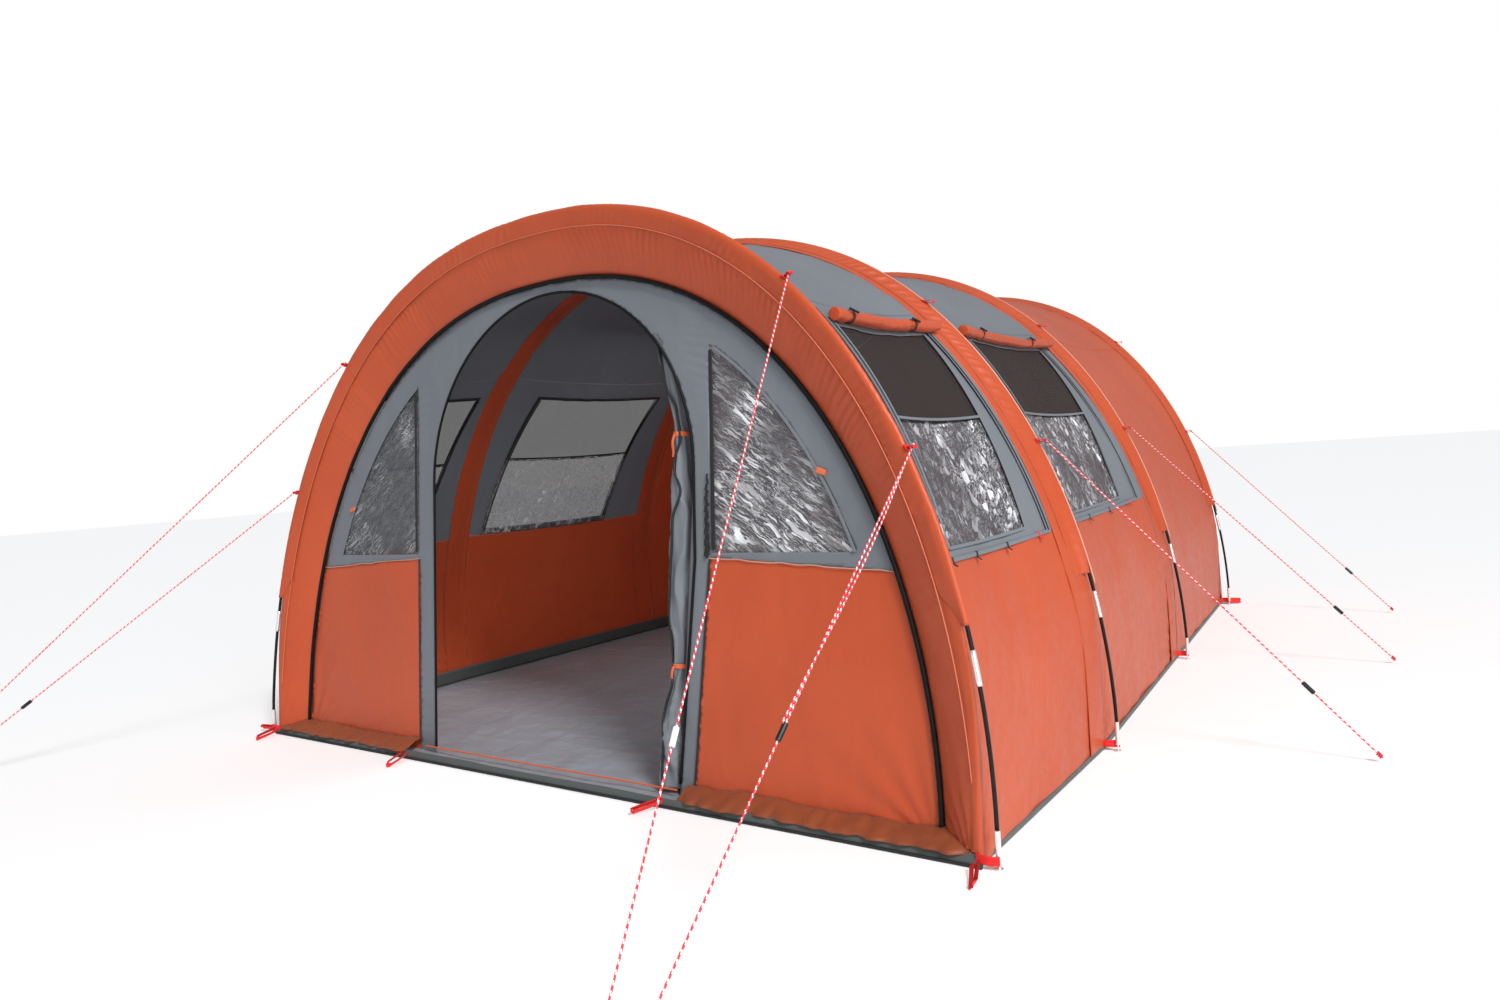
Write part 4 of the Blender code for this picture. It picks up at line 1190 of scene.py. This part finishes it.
def add_covers(look):
    """The rolled window covers: loose rolls cinched by their ties."""
    for bay in range(2):
        for side, label in ((1, "right"), (-1, "left")):
            start, end = (0.145, 0.895) if bay == 0 else (0.110, 0.905)
            places = np.concatenate([[start, start + 0.0004], np.linspace(start + 0.001, end, 110)])
            sizes = np.concatenate([[0.30, 0.88], np.ones(110)])
            angle = 0.842 if side > 0 else math.pi - 0.842
            points = skin(bay, places, np.full(112, angle)) + arch_outward(bay, angle) * 0.0245
            points[:, 2] += 0.003 * noise(places * 6.0, 0.0, 141 + bay)

            def roll(turn, run, bay=bay):
                part = run / run[-1]
                gather = sum(np.exp(-(((part - at) * bay_length(bay)) / 0.022) ** 2) for at in (0.12, 0.72))
                folds = 0.0022 * puckers(run + 0.02 * np.sin(turn), turn * 0.03, 0.055, 142) * np.exp(-gather)
                spiral = 0.0020 * np.sin(turn + 2.5 + 0.8 * noise(run / 0.2, 0.0, 143))
                return folds + spiral + 0.0018 * noise(run / 0.07, turn * 1.3, 140 + bay) - 0.0055 * gather

            tube(f"cover_{label}_{bay + 1}", points, 0.0205, look["orange"], 24,
                 [f"window_cover_{label}_{bay + 1}"], wave=roll, radii=sizes)


BUNDLE = ((0.565, 0.030, 1.05), (0.575, 0.200, 1.0), (0.600, 0.420, 0.46), (0.605, 0.600, 0.80),
          (0.615, 0.900, 0.85),
          (0.618, 1.180, 0.44), (0.585, 1.430, 0.80), (0.500, 1.620, 0.30))


def bundle_at(up):
    """Where the door's roll runs and how thick it is, at heights up the front."""
    fine = np.linspace(0.0, 1.66, 240)
    kernel = np.hanning(19) / np.hanning(19).sum()
    found = []
    for column in (0, 2):
        values = np.interp(fine, [b[1] for b in BUNDLE], [b[column] for b in BUNDLE])
        found.append(np.interp(up, fine, np.convolve(np.pad(values, 9, "edge"), kernel, "valid")))
    return found[0] - 0.012, found[1] * 0.054


def add_bundle(look):
    up = np.linspace(0.030, 1.620, 240)
    across, size = bundle_at(up)

    def pleats(turn, run):
        deep = 0.35 + 0.65 * np.interp(run, np.linspace(0.0, 1.62, 240), size / 0.054)
        fold = 1.0 - 2.0 * np.abs(np.sin(turn * 3.0 + 2.2 * noise(run / 0.22, 0.0, 150)
                                         + 0.8 * noise(run / 0.06, turn, 152)))
        crush = ridges(run / 0.045, turn * 1.3, 151) * smooth((0.42 - run) / 0.3)
        return deep * (0.0055 * fold + 0.003 * noise(run / 0.05, turn * 1.2, 153)) + 0.005 * crush

    obj = tube("door_roll", front(across, up, -0.050), 1.0, look["grey"], 48, ["door_bundle"],
               radii=size, wave=pleats)


def strap(name, path, width_axis, width, material, thickness=0.0014, body="tent"):
    """A flat strap along a path, whose width lies along the given direction."""
    along = unit(np.gradient(np.asarray(path, float), axis=0))
    return tape(name, path, np.cross(along, width_axis), width, material, thickness, body=body)


def loop_path(base, direction, side, length, gap):
    """A folded strap: out along a direction, round, and back."""
    turn = np.linspace(-0.5 * math.pi, 0.5 * math.pi, 7)
    out = [base - side * gap * 0.6, base + direction * length * 0.5 - side * gap]
    round_end = [base + direction * (length - gap + gap * math.cos(a)) + side * gap * math.sin(a)
                 for a in turn]
    back = [base + direction * length * 0.5 + side * gap, base + side * gap * 0.6]
    return np.array(out + round_end + back)


def add_loops(look):
    """Red webbing loops on the arches, where guy lines are or could be tied."""
    tied = {(arch, side, round(angle, 1)): name for name, (arch, side, angle, _, _) in GUY_LINES.items()}
    made = []
    for arch in range(4):
        for side in (1, -1):
            for level in (UPPER_LOOP, LOWER_LOOP):
                name = tied.get((arch, side, round(level, 1))) or tied.get((arch, side,
                        round(level - 0.03, 1)))
                angle = GUY_LINES[name][2] if name else level
                angle = angle if side > 0 else math.pi - angle
                outward = arch_outward(arch, angle)
                base = arch_point(arch, angle) + outward * 0.0085
                if name:
                    top, low = line_ends(name)
                    direction = unit(top + unit(low - top) * 0.012 - base)
                    length = float(np.linalg.norm(top - base)) + 0.010
                else:
                    direction = unit(outward * 0.75 + np.array([0.0, -0.15, -0.65]))
                    length = 0.042
                axis = unit(np.cross(direction, np.cross([0.0, 1.0, 0.1], direction)))
                side_way = np.cross(axis, direction)
                path = loop_path(base, direction, side_way, length, 0.0042)
                made.append(strap(f"loop_{len(made)}", path, axis, 0.017, look["red"]))
                patch = base + outward * 0.0010 + np.linspace(-0.016, 0.016, 5)[:, None] * arch_back(arch)
                made.append(tape(f"patch_{len(made)}", patch, outward, 0.020, look["red"], 0.0022))
    joined("line_loops", made)


PEG_LOOPS = {
    "left_corner_side": ((-1.672, -2.285, 0.012), (-1.0, -0.15, 0.0)),
    "left_corner": ((-1.640, -2.318, 0.016), (0.15, -1.0, -0.12)),
    "left_column": ((-0.690, -2.318, 0.022), (0.25, -1.0, -0.18)),
    "door_foot": ((0.620, -2.318, 0.022), (-0.60, -1.0, -0.18)),
    "right_corner": ((1.650, -2.330, 0.016), (0.40, -1.0, -0.12)),
    "right_back": ((1.575, 1.850, 0.014), (1.0, 0.35, -0.06)),
    "left_back": ((-1.575, 1.850, 0.014), (-1.0, 0.35, -0.06)),
    "back": ((0.0, 2.318, 0.012), (0.0, 1.0, -0.05)),
}


def add_peg_loops(look):
    made = []
    for k, (name, (base, way)) in enumerate(PEG_LOOPS.items()):
        way = unit(np.array(way))
        side = unit(np.cross([0.0, 0.0, 1.0], way))
        lift = np.cross(way, side)
        path = loop_path(np.array(base), way, lift, 0.100, 0.0050)
        path[:, 2] = np.maximum(path[:, 2], 0.002)
        path = path + side * (0.010 * np.sin(np.linspace(0.0, 3.0, len(path)) + k))[:, None]
        path[:, 2] += 0.008
        made.append(strap(f"peg_{name}", path, unit(side * 0.62 + np.array([0.0, 0.0, 0.78])), 0.021,
                          look["red"]))
    for arch in range(4):
        for side in (1, -1):
            foot = arch_point(arch, 0.0 if side > 0 else math.pi) * [1.0, 1.0, 0.0] + [0.0, 0.0, 0.024]
            k = np.linspace(-0.060, 0.004, 8)[:, None]
            path = foot + np.array([side, 0.0, 0.0]) * k + np.array([0.0, 0.006, 0.0]) * np.sin(k * 60.0
                    + arch)
            made.append(strap(f"foot_strap_{arch}_{side}", path, np.array([0.0, 0.12, 0.99]), 0.024,
                              look["red"], 0.0024))
    joined("peg_loops", made)


def add_mud_flaps(look):
    """Wavy strips along the foot of the front panels."""
    for side, label, inner in ((1, "right", 0.655), (-1, "left", 0.72)):
        k, v = np.meshgrid(np.linspace(0.0, 1.0, 190), np.linspace(0.0, 1.0, 8), indexing="ij")
        x = inner + (1.625 - inner) * k
        high = 0.040 + 0.007 * noise(k * 9.0, 0.0, 160 + side) + 0.003 * noise(k * 40.0, 0.0, 161)
        out = 0.010 + v * (0.078 + 0.010 * noise(k * 14.0, v, 162 + side)
                           + 0.004 * np.sin(k * 75.0 + 3.0 * noise(k * 6.0, v, 163)))
        up = high * (1.0 - v) ** 0.8 + 0.014 + 0.005 * np.abs(noise(k * 18.0, v * 2.0, 164)) * (v > 0.2)
        points = front(side * x, up, out)
        points[..., 2] = np.maximum(points[..., 2], 0.0055)
        obj = mesh_object(f"mud_flap_{label}", points, grid_faces(*k.shape), [look["flap"]])
        thicken(obj, 0.0012, 0.0)
        finish_piece(obj)


def add_hem(look):
    """The dark edge of the tub floor under the walls."""
    for side, label in ((1, "right"), (-1, "left")):
        path = np.concatenate([skin(bay, np.linspace(0.0, 1.0, 40)[: 40 if bay == 2 else 39], 0.0)
                               for bay in range(3)])
        path[:, 0] *= side
        path[:, 0] += side * 0.001
        path[:, 2] = 0.009
        out = np.array([side, 0.0, 0.25])
        tape(f"hem_{label}", path, out, 0.016, look["rim"], 0.004)
    t = np.linspace(0.02, math.pi - 0.02, 120)
    path = back_line(t)[1] + np.array([0.0, 0.001, 0.005])
    along = unit(np.gradient(path, axis=0))
    tape("hem_back", path, np.cross(along, [0.0, 0.0, 1.0]), 0.016, look["rim"], 0.004)


def side_path(bay, side, places, angles, out=0.0):
    """Places on a side wall as sewn, with the window's slant."""
    long = bay_length(bay)
    first, last = 0.011 / long, 1.0 - BAND_FRONT / long
    places = window_slant(np.asarray(places, float), np.asarray(angles, float), first, last)
    t = np.asarray(angles, float) if side > 0 else math.pi - np.asarray(angles, float)
    points = skin(bay, places, t)
    near = skin(bay, places, t + 0.01 * side) - skin(bay, places, t - 0.01 * side)
    outward = unit(np.cross([0.0, 1.0, 0.0], near)) * side
    return points + outward * out, outward


def add_window_trim(look):
    """Piping, zips, tapes, hooks and tabs of the side windows, and the toggles of their rolled covers."""
    for bay in range(2):
        for side, label in ((1, "right"), (-1, "left")):
            tag = f"{label}_{bay + 1}"
            t = np.linspace(GREY_FROM + 0.004, 0.862, 60)
            path, outward = side_path(bay, side, np.full(60, 0.065), t, 0.0035)
            tube(f"window_piping_{tag}", path, 0.0026, look["black"], 6)
            turned = t if side > 0 else math.pi - t
            outward = arch_outward(bay, turned)
            path = skin(bay, 0.84, turned) + outward * 0.0016
            tape(f"window_tape_{tag}", path, outward, 0.030, look["grey"], 0.0016)
            tape(f"window_zip_{tag}", path + outward * 0.0016, outward, 0.0075, look["zip"], 0.0034)
            s = np.linspace(0.065, 0.86, 50)
            path, outward = side_path(bay, side, s, np.full(50, GREY_FROM + 0.003), 0.0030)
            tape(f"window_hem_{tag}", path, outward, 0.012, look["grey"], 0.0022)
            edge = []
            for a, b in (((WINDOW_FRONT, WINDOW_LOW), (WINDOW_FRONT, WINDOW_HIGH)),
                         ((WINDOW_BACK, WINDOW_LOW), (WINDOW_BACK, WINDOW_HIGH)),
                         ((WINDOW_FRONT, WINDOW_LOW), (WINDOW_BACK, WINDOW_LOW)),
                         ((WINDOW_FRONT, WINDOW_MIDDLE), (WINDOW_BACK, WINDOW_MIDDLE))):
                k = np.linspace(0.0, 1.0, 40)
                path, outward = side_path(bay, side, a[0] + (b[0] - a[0]) * k, a[1] + (b[1] - a[1]) * k,
                                          0.0022)
                edge.append(tape(f"edge_{len(edge)}", path, outward, 0.010, look["grey"], 0.0018))
            joined(f"window_binding_{tag}", edge)
            edge = []
            k = np.linspace(0.0, 1.0, 40)
            for a, b in (((WINDOW_FRONT, WINDOW_LOW), (WINDOW_FRONT, WINDOW_HIGH)),
                         ((WINDOW_BACK, WINDOW_LOW), (WINDOW_BACK, WINDOW_HIGH))):
                path, outward = side_path(bay, side, a[0] + (b[0] - a[0]) * k, a[1] + (b[1] - a[1]) * k,
                                          -0.0115)
                edge.append(tape(f"edge_{len(edge)}", path, outward, 0.011, look["black"], 0.0016))
            joined(f"window_inner_binding_{tag}", edge)
            hooks, tabs = [], []
            for k, place in enumerate((0.10, 0.36, 0.60, 0.80)):
                base, outward = side_path(bay, side, place, GREY_FROM + 0.004, 0.0035)
                down = unit(side_path(bay, side, place, GREY_FROM - 0.02, 0.0035)[0] - base)
                path = base + down * np.linspace(-0.006, 0.022, 8)[:, None]
                path[-3:] += outward * np.array([0.002, 0.006, 0.009])[:, None]
                target = tabs if k == 3 else hooks
                target.append(strap(f"hook_{k}", path, unit(np.cross(down, outward)), 0.015,
                                    look["red" if k == 3 else "runner_dark"], 0.0026))
            joined(f"window_hooks_{tag}", hooks)
            tabs[0].name = f"window_tab_{tag}"
            toggles, ties = [], []
            for k, place in enumerate((0.245, 0.70)):
                centre = skin(bay, place, 0.842 if side > 0 else math.pi - 0.842) + arch_outward(bay, 0.842
                        if side > 0 else math.pi - 0.842) * 0.0255
                outward = arch_outward(bay, 0.842 if side > 0 else math.pi - 0.842)
                up = unit(np.cross([0.0, 1.0, 0.0], outward))
                turn = np.linspace(0.0, 2.0 * math.pi, 30)
                path = centre + (np.cos(turn)[:, None] * outward + np.sin(turn)[:, None] * up) * 0.0205
                ties.append(strap(f"tie_{k}", path, [0.0, 1.0, 0.0], 0.010, look["black"], 0.0016))
                bar = centre + outward * 0.0245 + np.linspace(-0.019, 0.019, 6)[:,
                        None] * unit(np.array([0.0, 1.0, 0.0]) + 0.5 * up)
                toggles.append(tube(f"toggle_{k}", bar, 0.0036, look["runner_dark"], 8))
            joined(f"cover_ties_{tag}", ties + toggles)


def add_front_details(look):
    """Hook strips, tabs and bindings of the front windows and columns."""
    for side, label in ((1, "right"), (-1, "left")):
        post = (COLUMN_RIGHT if side > 0 else -COLUMN_LEFT)
        top = front_window_outline(side)[-1][1]
        up = np.linspace(WINDOW_SILL + 0.01, top - 0.02, 60)
        path = front(np.full(60, side * (post + 0.016)), up, 0.0035)
        tape(f"hook_strip_{label}", path, (0.0, -1.0, 0.1), 0.015, look["black"], 0.0022)
        rim = np.array(front_window_outline(side)[1:-1])
        path = front(rim[:, 0], rim[:, 1], 0.0034)
        tape(f"window_welt_{label}", path, (0.0, -1.0, 0.1), 0.010, look["grey"], 0.0018)
        t = float(angle_at_height(1.02 if side > 0 else 0.98, 0.085))
        place = piping_point(t, 0.085)
        path = front(side * place[0] + np.linspace(0.0, -0.030, 6) * side, place[1]
                     + np.linspace(0.0, 0.012, 6), 0.006)
        tape(f"window_tab_front_{label}", path, (0.0, -1.0, 0.1), 0.018, look["tie"], 0.004)
        foot = COLUMN_RIGHT_FOOT if side > 0 else -COLUMN_LEFT
        up = np.linspace(0.03, PANEL_TOP, 50)
        across = (foot + (post - foot) * up / PANEL_TOP) * side
        tape(f"column_edge_{label}", front(across, up, 0.0048), (0.0, -1.0, 0.1), 0.007, look["black"],
             0.0025)
        k = np.linspace(0.0, 1.0, 60)
        x = post + (piping_point(float(angle_at_height(PANEL_TOP - PANEL_DROP, 0.0)), 0.006)[0] - post) * k
        path = front(side * x, PANEL_TOP + 0.004 - (PANEL_DROP + 0.004) * k
                     + 0.0022 * noise(k * 12.0, 0.0, 170 + side), 0.0042)
        tape(f"panel_edge_{label}", path, (0.0, -1.0, 0.1), 0.0036, look["pale"], 0.0018)
    k = np.linspace(0.0, 1.0, 90)
    gather = np.abs(np.sin(k * 60.0)) * 0.008 * smooth((1.0 - k) / 0.3)
    path = front(0.757 - 0.010 - gather, WINDOW_SILL - 0.010 + 0.26 * k, 0.006 + 0.003 * np.sin(k * 47.0))
    tape("ruffle_right", path, (0.0, -1.0, 0.1), 0.020 * (1.0 - k * 0.6), look["black"], 0.0025)
    path = front(np.linspace(DOOR_LEFT - 0.05, DOOR_RIGHT_FOOT, 60), np.full(60, 0.031), 0.016)
    tape("sill_piping", path, (0.0, -1.0, 0.1), 0.006, look["tie"], 0.004)


def add_bundle_details(look):
    """Ties and trim of the door rolled to the side."""
    ties = []
    for k, up in enumerate((1.180, 0.420)):
        turn = np.linspace(0.0, 2.0 * math.pi, 36)
        across, size = (float(v) for v in bundle_at(up))
        path = front(across + (size + 0.004) * np.cos(turn), up, -0.050 + (size + 0.004) * np.sin(turn))
        ties.append(strap(f"tie_{k}", path, [0.0, 0.0, 1.0], 0.016, look["tie"], 0.0018))
        drop = np.linspace(0.0, 1.0, 12)
        path = front(across - size * 0.4 - 0.012 * drop, up - 0.075 * drop, -0.046 + size
                     + 0.006 * np.sin(drop * 5.0))
        ties.append(strap(f"tail_{k}", path, [1.0, 0.0, 0.0], 0.010, look["tie"], 0.0018))
    joined("door_ties", ties)
    up = np.linspace(0.05, 1.60, 160)
    across, size = bundle_at(up)
    turn = -2.0 + 0.9 * noise(up / 0.5, 0.0, 180) + 0.5 * noise(up / 0.09, 0.0, 181)
    path = front(across + (size + 0.003) * np.cos(turn), up, -0.050 - (size + 0.003) * np.sin(turn))
    tube("door_trim", path, 0.0046, look["black"], 6)


look = make_materials()
add_camera()
add_guy_lines(look)
add_studio()
add_poles(look)
add_walls(look)
add_bands(look)
add_roofs(look)
add_sleeves(look)
add_front_wall(look)
add_brow(look)
add_back(look)
add_floor(look)
add_covers(look)
add_bundle(look)
add_loops(look)
add_peg_loops(look)
add_mud_flaps(look)
add_hem(look)
add_window_trim(look)
add_front_details(look)
add_bundle_details(look)
for name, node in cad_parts.items():
    if name.endswith("slider") or "zip_slider" in name:
        node.material_slots[0].material = look["metal"]
